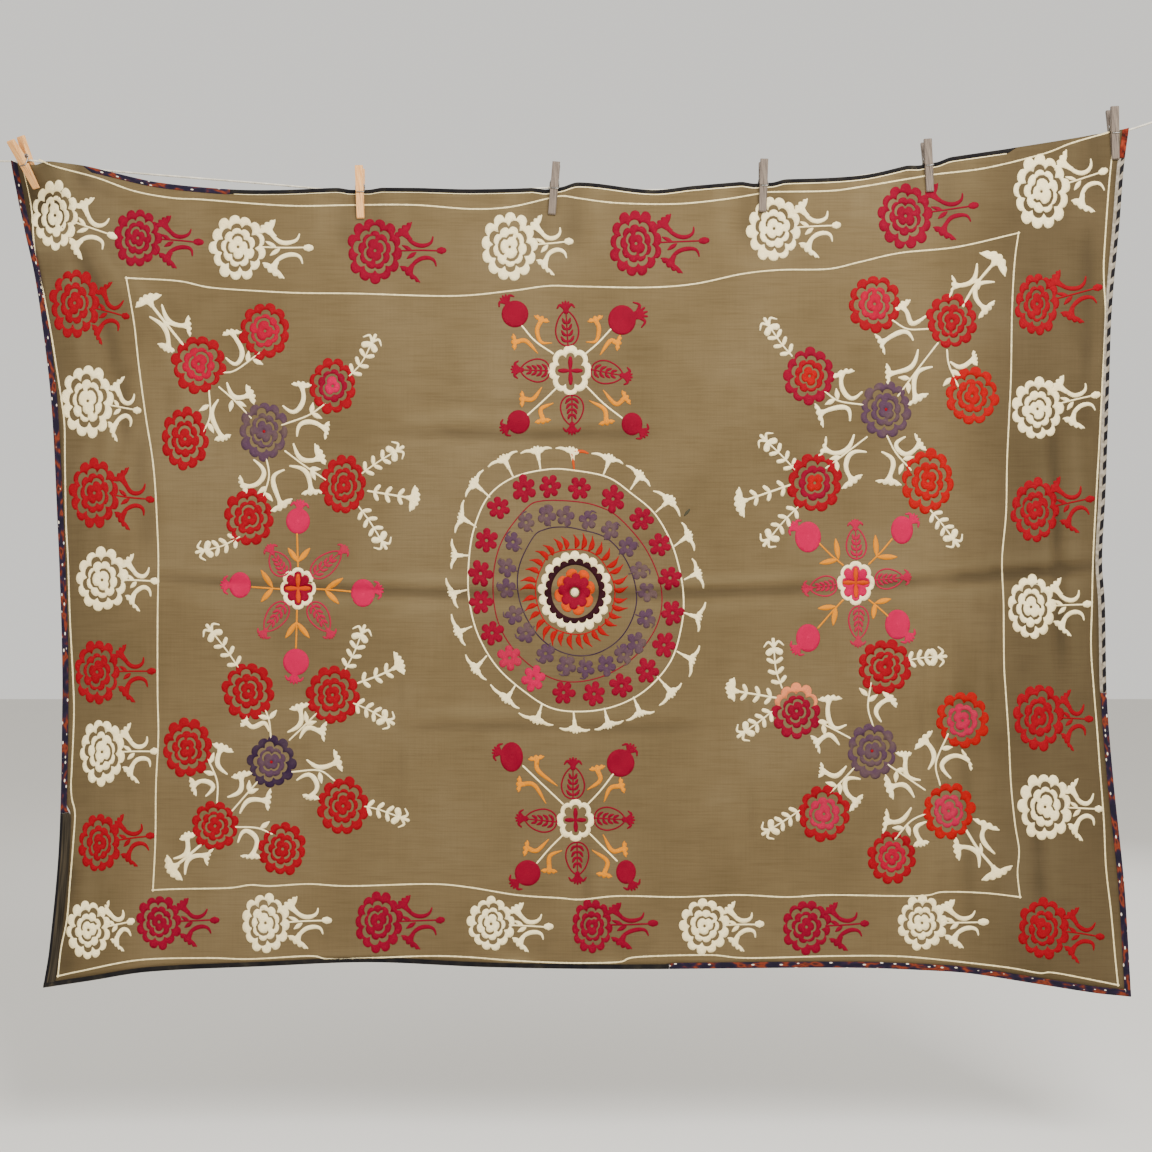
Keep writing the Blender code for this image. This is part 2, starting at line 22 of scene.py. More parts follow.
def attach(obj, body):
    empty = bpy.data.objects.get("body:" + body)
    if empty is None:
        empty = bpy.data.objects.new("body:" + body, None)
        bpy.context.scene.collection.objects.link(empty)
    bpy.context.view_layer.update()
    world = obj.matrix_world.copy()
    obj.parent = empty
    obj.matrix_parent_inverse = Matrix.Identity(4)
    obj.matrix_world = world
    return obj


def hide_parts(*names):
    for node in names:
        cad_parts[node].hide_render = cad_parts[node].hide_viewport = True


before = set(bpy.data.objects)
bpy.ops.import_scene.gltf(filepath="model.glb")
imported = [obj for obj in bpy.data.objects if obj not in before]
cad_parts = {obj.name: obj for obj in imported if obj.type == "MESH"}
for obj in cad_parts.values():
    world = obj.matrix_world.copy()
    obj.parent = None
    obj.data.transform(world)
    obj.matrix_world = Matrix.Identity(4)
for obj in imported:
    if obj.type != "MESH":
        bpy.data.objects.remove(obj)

logging.basicConfig(level=logging.INFO, format="%(message)s")
LOG = logging.getLogger("suzani")

Point = Sequence[float]
Path = tuple[Point, ...]

MM = 0.001
VIEW = 1152
PIXEL = 1.45
LINE_PIXEL = (576.0, 183.0)


def from_pixels(points: np.ndarray) -> np.ndarray:
    """Places of the view, in pixels, as X and Z in millimetres.

    Args:
        points: rows of pixel x and pixel y.

    Returns:
        Rows of X and Z.
    """
    return np.column_stack([
        (points[:, 0] - LINE_PIXEL[0]) * PIXEL,
        (LINE_PIXEL[1] - points[:, 1]) * PIXEL,
    ])


def smooth(low: float, high: float, value: np.ndarray) -> np.ndarray:
    """A soft step from 0 at low to 1 at high."""
    share = np.clip((np.asarray(value, float) - low) / (high - low), 0.0, 1.0)
    return share * share * (3.0 - 2.0 * share)


def linear(hex_colour: str) -> tuple[float, float, float, float]:
    """An sRGB hex colour as linear red, green, blue and alpha."""
    parts = [int(hex_colour[i:i + 2], 16) / 255.0 for i in (1, 3, 5)]
    made = [p / 12.92 if p <= 0.04045 else ((p + 0.055) / 1.055) ** 2.4 for p in parts]
    return (made[0], made[1], made[2], 1.0)


def add_node(
    tree: bpy.types.NodeTree,
    kind: str,
    values: Optional[dict] = None,
    links: Optional[dict] = None,
    stops: Sequence[tuple[float, str]] = (),
    **settings: object,
) -> bpy.types.Node:
    """Adds one node with its settings, its fixed inputs and its links.

    Args:
        tree: the node tree that takes it.
        kind: the node's type name.
        values: fixed values, by input name or index.
        links: output sockets to link, by input name or index.
        stops: the places from 0 to 1 of a ramp's colours, with the colours as hex values.
        settings: the node's own properties.

    Returns:
        The new node.
    """
    node = tree.nodes.new(kind)
    for name, value in settings.items():
        setattr(node, name, value)
    for name, value in (values or {}).items():
        node.inputs[name].default_value = value
    for name, output in (links or {}).items():
        tree.links.new(output, node.inputs[name])
    while stops and len(node.color_ramp.elements) < len(stops):
        node.color_ramp.elements.new(0.5)
    for index, (place, colour) in enumerate(stops):
        node.color_ramp.elements[index].position = place
        node.color_ramp.elements[index].color = linear(colour)
    return node


def new_material(name: str) -> tuple[bpy.types.Material, bpy.types.NodeTree]:
    """A new material and its node tree."""
    material = bpy.data.materials.new(name)
    material.use_nodes = True
    return material, material.node_tree


def dress(
    tree: bpy.types.NodeTree,
    colour: bpy.types.NodeSocket,
    relief: Optional[bpy.types.Node],
    roughness: float,
    specular: float = 0.5,
) -> None:
    """Gives a material's shader its colour and relief, and sets how rough and glossy it is.

    Args:
        tree: the material's node tree.
        colour: the output that gives the colour.
        relief: the node that gives the normal, or none.
        roughness: how rough it is, from 0 to 1.
        specular: how strongly it reflects, 0.5 being usual.
    """
    shader = tree.nodes["Principled BSDF"]
    tree.links.new(colour, shader.inputs["Base Color"])
    if relief:
        tree.links.new(relief.outputs[0], shader.inputs["Normal"])
    shader.inputs["Roughness"].default_value = roughness
    shader.inputs["Specular IOR Level"].default_value = specular


def fine_relief(tree: bpy.types.NodeTree, scale: float, strength: float = 0.3) -> bpy.types.Node:
    """A fine even roughness of a surface, for the relief of its finish."""
    where = add_node(tree, "ShaderNodeTexCoord").outputs["Object"]
    grain = add_node(
        tree, "ShaderNodeTexNoise", values={"Scale": scale, "Detail": 2.0}, links={"Vector": where},
    )
    return add_node(
        tree, "ShaderNodeBump", values={"Strength": strength, "Distance": 0.0004},
        links={"Height": grain.outputs["Fac"]},
    )


def make_object(
    name: str,
    points: Iterable[Point],
    faces: Iterable[Sequence[int]],
    material: bpy.types.Material,
    soft_shading: bool = True,
) -> bpy.types.Object:
    """A mesh object at the origin.

    Args:
        name: the piece's name.
        points: its points in metres.
        faces: its faces, as point numbers.
        material: its finish.
        soft_shading: whether its faces are shaded smooth.

    Returns:
        The new object.
    """
    mesh = bpy.data.meshes.new(name)
    mesh.from_pydata([tuple(p) for p in points], [], [tuple(f) for f in faces])
    mesh.validate()
    if soft_shading:
        mesh.shade_smooth()
    mesh.materials.append(material)
    made = bpy.data.objects.new(name, mesh)
    bpy.context.scene.collection.objects.link(made)
    return made


def add_attribute(mesh: bpy.types.Mesh, name: str, values: Sequence[float]) -> None:
    """Gives each point of a mesh a number."""
    layer = mesh.attributes.new(name, "FLOAT", "POINT")
    layer.data.foreach_set("value", list(values))


# The outline of the hanging cloth with its edging, the pegs, folds and strips, as in the solids.

TOP_EDGE = (
    (-820, 38), (-776, 33), (-713, 25), (-674, 16), (-606, 1), (-502, -9), (-429, -10),
    (-347, -7), (-235, -7), (-152, -9), (-46, -6), (6, 1), (110, -10), (171, -4), (271, 4),
    (412, 11), (510, 32), (641, 52), (734, 67), (774, 75), (802, 81),
)
BOTTOM_EDGE = (
    (-773, -1167), (-706, -1157), (-622, -1144), (-458, -1136), (-300, -1130), (-129, -1137),
    (62, -1140), (397, -1138), (532, -1143), (577, -1147), (666, -1161), (755, -1175),
    (805, -1180),
)
LEFT_EDGE = (
    (-820, 38), (-805, -46), (-786, -129), (-773, -213), (-761, -319), (-753, -468),
    (-746, -652), (-745, -760), (-750, -961), (-764, -1111), (-773, -1167),
)
RIGHT_EDGE = (
    (802, 81), (795, 28), (788, -60), (777, -184), (773, -299), (768, -447), (763, -547),
    (767, -610), (770, -748), (780, -873), (795, -1015), (803, -1143), (805, -1180),
)


class Wood(Enum):
    """What a peg is made of."""

    PINE = "pine"
    GREY = "weathered_wood"


@dataclass(frozen=True)
class Peg:
    """One peg: its place on the line, its turn in degrees, and how far it tucks the edge down."""

    name: str
    x: float
    z: float
    lean: float
    yaw: float
    pitch: float
    tuck: float
    wood: Wood

    def turn(self) -> Matrix:
        """The peg's turn."""
        return (
            Matrix.Rotation(math.radians(self.lean), 3, "Y")
            @ Matrix.Rotation(math.radians(self.pitch), 3, "X")
            @ Matrix.Rotation(math.radians(self.yaw), 3, "Z")
        )

    def front(self) -> Vector:
        """The way its front leg faces."""
        return self.turn() @ Vector((0.0, -1.0, 0.0))

    def middle(self) -> Vector:
        """The middle of the cloth that it clamps, in millimetres."""
        return Vector((self.x, 0.0, self.z)) + LINE_DEPTH * self.front()

    def presses(self, x: np.ndarray, z: np.ndarray) -> np.ndarray:
        """Whether each place is so near that the peg presses its stitching flat."""
        return (np.abs(x - self.x) < PRESS_WIDE) & (np.abs(z - self.z) < PRESS_TALL)


@dataclass(frozen=True)
class Fold:
    """A fold along X or Z: where it runs, its place across that, and how far it lies back."""

    runs: str
    start: float
    end: float
    at_start: float
    at_middle: float
    at_end: float
    half_width: float
    back: float

    def moved(self, x: np.ndarray, z: np.ndarray) -> np.ndarray:
        """How far it moves the cloth back at each place."""
        along, across = (x, z) if self.runs == "x" else (z, x)
        t = (along - self.start) / (self.end - self.start)
        middle = (
            self.at_start * (1 - t) * (1 - 2 * t)
            + self.at_middle * 4 * t * (1 - t)
            + self.at_end * t * (2 * t - 1)
        )
        taper = smooth(0.0, 0.22, t) * smooth(0.0, 0.22, 1.0 - t)
        return self.back * taper * np.exp(-(((across - middle) / self.half_width) ** 2))


@dataclass(frozen=True)
class Swell:
    """A soft swell: its centre, its reach each way, and how far it stands out."""

    x: float
    z: float
    wide: float
    tall: float
    out: float

    def moved(self, x: np.ndarray, z: np.ndarray) -> np.ndarray:
        """How far it moves the cloth back at each place, below 0 where it stands out."""
        reach = np.exp(-(((x - self.x) / self.wide) ** 2) - ((z - self.z) / self.tall) ** 2)
        return -self.out * reach


@dataclass(frozen=True)
class Crease:
    """A fine crease through places of the view, with its half width and how far it lies back."""

    through: Path
    half_width: float
    back: float

    def moved(self, x: np.ndarray, z: np.ndarray) -> np.ndarray:
        """How far it moves the cloth back at each place, unevenly along its length."""
        route = from_pixels(smooth_path(self.through, 9.0))
        low, high = route.min(axis=0) - 4 * self.half_width, route.max(axis=0) + 4 * self.half_width
        near = (x > low[0]) & (x < high[0]) & (z > low[1]) & (z < high[1])
        back = np.zeros_like(x)
        if not near.any():
            return back
        spots = np.column_stack([x[near], z[near]])
        closest, share = distance_to(spots, route[:-1], route[1:])
        taper = smooth(0.0, 0.25, share) * smooth(0.0, 0.25, 1.0 - share)
        uneven = 0.75 + 0.25 * np.sin(17.0 * share + self.through[0][0])
        back[near] = self.back * taper * uneven * np.exp(-((closest / self.half_width) ** 2))
        return back


@dataclass(frozen=True)
class Ripple:
    """Fine waves over a part of the cloth: their middle, reach, heading, length and height."""

    x: float
    z: float
    wide: float
    tall: float
    heading: float
    length: float
    height: float
    wander: float

    def moved(self, x: np.ndarray, z: np.ndarray) -> np.ndarray:
        """How far they move the cloth back at each place."""
        angle = math.radians(self.heading)
        along = x * math.cos(angle) + z * math.sin(angle)
        across = z * math.cos(angle) - x * math.sin(angle)
        drift = self.wander * (np.sin(along / 71.0 + self.x) + 0.6 * np.sin(along / 29.0 + across / 90.0))
        beat = 0.55 + 0.45 * np.sin(along / 113.0 + across / 37.0 + self.z)
        reach = np.exp(-(((x - self.x) / self.wide) ** 2) - ((z - self.z) / self.tall) ** 2)
        return self.height * reach * beat * np.sin(2 * math.pi * across / self.length + drift)


@dataclass(frozen=True)
class Strip:
    """A strip of edging: its edge, its stretch of it as shares of the length, and its width."""

    name: str
    edge: str
    start: float
    end: float
    width: float
    slot: str


LINE_DEPTH = 2.6
HANG_FORWARD = 4.4
TUCK_FLAT, TUCK_END, TUCK_FADE = 11.0, 34.0, 0.05
CLAMP_FLAT, CLAMP_FADE = 12.0, 62.0
CLAMP_DROP, CLAMP_DROP_FADE = 52.0, 70.0
PRESS_WIDE, PRESS_TALL = 24.0, 50.0
SIGHT_DISTANCE, SIGHT_HEIGHT, SIGHT_DEPTH = 2400.0, -570.0, -7.0
SIGHT_ROUNDS = 3
# Blurs and depth that find the valleys and ridges of the folds, for the cloth's painted shade and highlight.
NEAR_BLURS, WIDE_BLURS, VALLEY_DEPTH = 2, 14, 1.6


def along_sight(
    x: np.ndarray, z: np.ndarray, depth: Callable[[np.ndarray, np.ndarray], np.ndarray]
) -> np.ndarray:
    """The places of a surface on the lines of sight through measured places.

    Args:
        x: measured X in millimetres, on the plane that the view was measured on.
        z: measured Z.
        depth: the surface's Y at an X and a Z.

    Returns:
        X, Y and Z, on a last axis of three.
    """
    y = np.full_like(x, SIGHT_DEPTH)
    for _ in range(SIGHT_ROUNDS):
        scale = (SIGHT_DISTANCE + y) / (SIGHT_DISTANCE + SIGHT_DEPTH)
        seen_x, seen_z = x * scale, SIGHT_HEIGHT + (z - SIGHT_HEIGHT) * scale
        y = depth(seen_x, seen_z)
    return np.stack([seen_x, y, seen_z], axis=-1)


PEGS = (
    Peg("peg_1", -798.0, 33.0, -19.5, -33.0, 22.0, 8.1, Wood.PINE),
    Peg("peg_2", -313.3, -11.5, -1.1, 0.0, 0.0, 3.1, Wood.PINE),
    Peg("peg_3", -31.6, -6.0, 5.1, 0.0, 0.0, 3.7, Wood.GREY),
    Peg("peg_4", 271.6, -2.0, 1.1, 0.0, 0.0, 4.1, Wood.GREY),
    Peg("peg_5", 511.0, 27.0, -4.2, 0.0, 0.0, 4.1, Wood.GREY),
    Peg("peg_6", 780.8, 74.0, -3.3, 0.0, 0.0, 1.2, Wood.GREY),
)
FOLDS = (
    Fold("x", -735, 765, -560, -599, -552, 8, 4.0),
    Fold("x", 520, 790, -575, -567, -551, 10, 3.4),
    Fold("x", -330, 170, -361, -365, -362, 7, 2.2),
    Fold("x", -290, 130, -338, -340, -338, 12, -1.6),
    Fold("x", -300, 250, -787, -790, -785, 7, 1.3),
    Fold("x", -270, 220, -764, -766, -762, 12, -1.0),
    Fold("z", -18, -600, -752, -652, -618, 26, 4.6),
    Fold("z", -60, -430, -718, -585, -540, 26, -3.4),
    Fold("z", -280, -760, 690, 700, 706, 12, 3.0),
    Fold("z", -40, -400, 742, 736, 730, 22, 3.2),
    Fold("z", -830, -1090, 664, 668, 676, 14, 2.2),
    Fold("z", -640, -1150, 560, 566, 574, 16, 1.8),
    Fold("z", -830, -1140, 14, 15, 12, 13, 1.4),
    Fold("z", -960, -1180, -738, -742, -750, 24, 6.0),
)
SWELLS = (
    Swell(-540, -60, 120, 150, 8.0),
    Swell(-170, -50, 90, 140, 6.5),
    Swell(120, -60, 100, 130, 7.5),
    Swell(395, -40, 80, 120, 6.0),
    Swell(650, 10, 85, 150, 7.0),
    Swell(-420, -420, 260, 240, 7.0),
    Swell(330, -300, 300, 220, 6.0),
    Swell(-60, -900, 330, 260, 8.0),
    Swell(520, -900, 210, 230, 6.0),
    Swell(-770, -420, 60, 300, -9.0),
    Swell(785, -620, 50, 330, -7.0),
    Swell(-87, -1136, 34, 18, 7.0),
    Swell(43, -1140, 36, 18, 7.0),
    Swell(800, -1150, 110, 140, 9.0),
)
STRIPS = (
    Strip("edging_left_print", "left", 0.0, 0.79, 9.0, "print_edging"),
    Strip("edging_left_dark", "left", 0.79, 1.0, 16.0, "dark_edging"),
    Strip("edging_right_corner", "right", 0.0, 0.035, 9.0, "print_edging"),
    Strip("edging_right_braid", "right", 0.035, 0.65, 10.0, "braid_edging"),
    Strip("edging_right_print", "right", 0.65, 1.0, 9.0, "print_edging"),
    Strip("edging_bottom_dark", "bottom", 0.0, 0.575, 7.0, "dark_edging"),
    Strip("edging_bottom_print", "bottom", 0.575, 1.0, 9.0, "print_edging"),
    Strip("edging_top_print", "top", 0.068, 0.197, 8.0, "print_edging"),
    Strip("edging_top_piping", "top", 0.197, 0.895, 6.5, "dark_edging"),
)
CREASES = (
    Crease(((300, 571), (420, 578), (560, 583), (700, 581), (860, 573), (1000, 566)), 6, -1.5),
    Crease(((120, 577), (260, 585), (400, 590), (560, 592), (700, 590), (850, 580)), 4.5, 1.8),
    Crease(((980, 574), (1040, 573), (1092, 566)), 9, 3.0),
    Crease(((330, 376), (395, 376), (450, 382), (500, 386), (560, 384)), 3.2, 1.3),
    Crease(((345, 380), (420, 384), (520, 392)), 4.0, -0.8),
    Crease(((408, 412), (430, 420), (450, 433), (480, 438), (560, 437), (680, 440)), 4.0, 1.9),
    Crease(((430, 409), (470, 415), (520, 420), (560, 424)), 6.0, -1.5),
    Crease(((430, 396), (455, 401), (475, 404)), 3.0, 1.0),
    Crease(((340, 351), (420, 354), (470, 356)), 3.0, 0.7),
    Crease(((300, 318), (380, 320), (480, 324)), 3.2, 0.7),
    Crease(((300, 304), (400, 307), (500, 312)), 3.0, -0.6),
    Crease(((460, 356), (500, 351), (540, 349)), 3.0, -0.7),
    Crease(((455, 360), (500, 365), (530, 366)), 3.5, 0.7),
    Crease(((380, 727), (470, 726), (580, 729), (690, 731), (740, 728)), 3.6, 1.5),
    Crease(((400, 713), (500, 711), (640, 713)), 6.0, -0.9),
    Crease(((440, 216), (480, 210), (520, 208)), 4.0, -1.1),
    Crease(((470, 203), (500, 203), (540, 212)), 4.0, 1.1),
    Crease(((560, 212), (600, 224), (640, 236)), 5.0, 1.0),
    Crease(((520, 214), (470, 226), (420, 232)), 5.0, 1.0),
    Crease(((390, 216), (430, 226), (480, 232)), 5.0, 0.8),
    Crease(((330, 216), (290, 226), (240, 230)), 5.0, 0.9),
    Crease(((788, 208), (830, 222), (880, 232)), 5.0, 0.9),
    Crease(((740, 208), (700, 220), (650, 226)), 5.0, 0.9),
    Crease(((950, 190), (990, 208), (1020, 228)), 5.0, 0.9),
    Crease(((905, 190), (870, 204), (820, 214)), 5.0, 0.8),
    Crease(((44, 178), (70, 230), (98, 300), (118, 380), (128, 470)), 8.0, 2.2),
    Crease(((56, 176), (98, 232), (138, 300), (170, 370)), 7.0, 1.5),
    Crease(((50, 182), (62, 240), (76, 310), (84, 390)), 6.0, -1.6),
    Crease(((62, 172), (130, 204), (190, 232), (250, 252)), 8.0, 1.4),
    Crease(((1050, 410), (1056, 500), (1060, 600), (1062, 680)), 5.0, 1.9),
    Crease(((1074, 330), (1078, 430), (1080, 520)), 5.0, -1.4),
    Crease(((1088, 200), (1090, 300), (1088, 400)), 5.0, 1.5),
    Crease(((1037, 790), (1038, 850), (1040, 905)), 5.0, 1.8),
    Crease(((1024, 640), (1022, 720), (1024, 800)), 5.0, 1.1),
    Crease(((965, 640), (967, 740), (968, 850), (970, 930)), 5.0, 1.3),
    Crease(((920, 620), (922, 700), (920, 780)), 4.5, 0.9),
    Crease(((900, 740), (903, 820), (905, 900)), 4.5, -0.9),
    Crease(((850, 600), (852, 680), (848, 760)), 4.5, 0.8),
    Crease(((990, 600), (992, 680), (990, 760)), 4.5, 1.0),
    Crease(((938, 840), (940, 900), (944, 950)), 4.5, 0.9),
    Crease(((572, 280), (574, 340), (572, 440)), 4.5, 0.9),
    Crease(((586, 840), (588, 900), (584, 950)), 4.5, 1.1),
    Crease(((305, 600), (306, 740), (304, 890)), 5.0, 0.9),
    Crease(((400, 610), (402, 740), (400, 900)), 5.0, 0.9),
    Crease(((750, 610), (752, 740), (750, 900)), 5.0, 0.9),
    Crease(((62, 820), (66, 890), (58, 950)), 8.0, 3.0),
    Crease(((84, 620), (90, 720), (86, 830)), 8.0, 1.2),
    Crease(((470, 925), (505, 940), (520, 955)), 5.0, 1.2),
    Crease(((560, 932), (545, 945), (540, 956)), 5.0, 1.0),
    Crease(((600, 936), (608, 948), (606, 960)), 5.0, -1.0),
    Crease(((660, 930), (650, 944), (640, 956)), 5.0, 1.0),
    Crease(((300, 930), (340, 942), (400, 946)), 5.0, 0.8),
    Crease(((760, 925), (800, 940), (860, 944)), 5.0, 0.8),
)
RIPPLES = (
    Ripple(-130, -270, 330, 120, 0.5, 19, 0.42, 1.6),
    Ripple(-90, -330, 200, 60, -3.0, 12, 0.30, 2.1),
    Ripple(250, -240, 330, 160, 1.5, 23, 0.30, 1.4),
    Ripple(-400, -620, 260, 220, 1.0, 27, 0.34, 1.5),
    Ripple(60, -680, 420, 160, -1.0, 21, 0.30, 1.5),
    Ripple(0, -1000, 560, 120, 0.5, 24, 0.38, 1.6),
    Ripple(530, -800, 190, 300, 89.0, 25, 0.55, 1.3),
    Ripple(700, -560, 80, 330, 88.0, 21, 0.50, 1.3),
    Ripple(-700, -330, 110, 260, 78.0, 33, 0.70, 1.1),
    Ripple(-690, -800, 100, 240, 91.0, 29, 0.55, 1.2),
    Ripple(0, -40, 640, 60, 4.0, 26, 0.34, 1.8),
    Ripple(0, -500, 900, 600, 40.0, 97, 0.60, 1.0),
    Ripple(0, -500, 900, 600, 118.0, 131, 0.60, 1.0),
)


def smooth_path(points: Sequence[Point], step: float, closed: bool = False) -> np.ndarray:
    """Points of a smooth curve through the given ones.

    Args:
        points: two or more places.
        step: about how far apart the points are.
        closed: whether the curve runs on from the last place to the first.

    Returns:
        Rows of places, from the first to the last.
    """
    rows = np.array(points, float)
    ends = np.vstack([2 * rows[0] - rows[1], rows, 2 * rows[-1] - rows[-2]])
    if closed:
        ends = np.vstack([rows[-1], rows, rows[:2]])
    found = []
    for before, start, end, after in zip(ends, ends[1:], ends[2:], ends[3:]):
        count = max(1, math.ceil(float(np.linalg.norm(end - start)) / step))
        t = (np.arange(count) / count)[:, None]
        found.append(0.5 * (
            2 * start + (end - before) * t
            + (2 * before - 5 * start + 4 * end - after) * t**2
            + (3 * start - before - 3 * end + after) * t**3
        ))
    return np.vstack(found) if closed else np.vstack(found + [rows[-1:]])


def distance_to(
    spots: np.ndarray, starts: np.ndarray, ends: np.ndarray
) -> tuple[np.ndarray, np.ndarray]:
    """How far each spot is from the nearest of some straight pieces.

    Args:
        spots: rows of places.
        starts: where each piece starts.
        ends: where each piece ends.

    Returns:
        The distances, and where the nearest point lies along the pieces in a row, from 0 to 1.
    """
    best = np.full(len(spots), 1e9)
    place = np.zeros(len(spots))
    lengths = np.linalg.norm(ends - starts, axis=1)
    marks = np.concatenate([[0.0], np.cumsum(lengths)])
    for index, (start, end) in enumerate(zip(starts, ends)):
        way = end - start
        t = np.clip(((spots - start) @ way) / max(float(way @ way), 1e-12), 0.0, 1.0)
        gap = np.linalg.norm(spots - start - t[:, None] * way, axis=1)
        nearer = gap < best
        best[nearer] = gap[nearer]
        place[nearer] = (marks[index] + t[nearer] * lengths[index]) / marks[-1]
    return best, place


def rounded(points: Sequence[Point], step: float = 1.5) -> list[Point]:
    """Points of a curve through the given ones that bends evenly, instead of mostly at each of them.

    Args:
        points: three or more places.
        step: about how far apart the points are.

    Returns:
        The places, from the first to the last.
    """
    rows = np.array(points, float)
    gaps = np.linalg.norm(np.diff(rows, axis=0), axis=1)
    marks = np.concatenate([[0.0], np.cumsum(gaps)])
    system, right = np.eye(len(rows)), np.zeros((len(rows), 2))
    for i in range(1, len(rows) - 1):
        system[i, i - 1:i + 2] = gaps[i - 1], 2 * (gaps[i - 1] + gaps[i]), gaps[i]
        right[i] = 6 * ((rows[i + 1] - rows[i]) / gaps[i] - (rows[i] - rows[i - 1]) / gaps[i - 1])
    bends = np.linalg.solve(system, right)
    places = np.linspace(0, marks[-1], max(3, math.ceil(marks[-1] / step)))
    index = np.clip(np.searchsorted(marks, places, "right") - 1, 0, len(rows) - 2)
    gap = gaps[index][:, None]
    before, after = (marks[index + 1] - places)[:, None], (places - marks[index])[:, None]
    found = (bends[index] * before**3 + bends[index + 1] * after**3) / (6 * gap)
    found += (rows[index] / gap - bends[index] * gap / 6) * before
    found += (rows[index + 1] / gap - bends[index + 1] * gap / 6) * after
    return [tuple(row) for row in found.tolist()]


def eased(
    t: float | np.ndarray, start: Point, end: Point, into: Point, out: Point
) -> Point | np.ndarray:
    """Places on a curve between two others.

    Args:
        t: their shares of the way, one or a column of them.
        start: where the curve starts.
        end: where it ends.
        into: its slope at the start.
        out: its slope at the end.

    Returns:
        One place or a row for each share.
    """
    return (
        (2 * t**3 - 3 * t**2 + 1) * start + (t**3 - 2 * t**2 + t) * into
        + (3 * t**2 - 2 * t**3) * end + (t**3 - t**2) * out
    )


class EdgeCurve:
    """One edge of the hanging cloth, found by its share of the length."""

    STEPS = 12

    def __init__(self, points: Sequence[Point]) -> None:
        """Sets out the smooth curve, with slopes set by the lengths on both sides."""
        rows = np.array(points, float)
        rows = np.vstack([2 * rows[0] - rows[1], rows, 2 * rows[-1] - rows[-2]])
        found = []
        for before, start, end, after in zip(rows, rows[1:], rows[2:], rows[3:]):
            length = np.linalg.norm(end - start)
            into = (end - before) * (length / (np.linalg.norm(start - before) + length))
            out = (after - start) * (length / (np.linalg.norm(after - end) + length))
            t = (np.arange(self.STEPS) / self.STEPS)[:, None]
            found.append(eased(t, start, end, into, out))
        self.rows = np.vstack(found + [rows[-2:-1]])
        pieces = np.linalg.norm(np.diff(self.rows, axis=0), axis=1)
        self.marks = np.concatenate([[0.0], np.cumsum(pieces)])

    @property
    def length(self) -> float:
        """The edge's length in millimetres."""
        return float(self.marks[-1])

    def at(self, share: np.ndarray) -> np.ndarray:
        """X and Z at each share of the length, on a last axis of two."""
        wanted = np.clip(share, 0.0, 1.0) * self.length
        return np.stack(
            [np.interp(wanted, self.marks, self.rows[:, axis]) for axis in (0, 1)], axis=-1
        )


def free_end(edge: str, share: float) -> bool:
    """Whether a strip that ends there has plain cloth beyond it, not a corner or a strip."""
    ends = [end for strip in STRIPS if strip.edge == edge for end in (strip.start, strip.end)]
    return 0.0 < share < 1.0 and ends.count(share) == 1


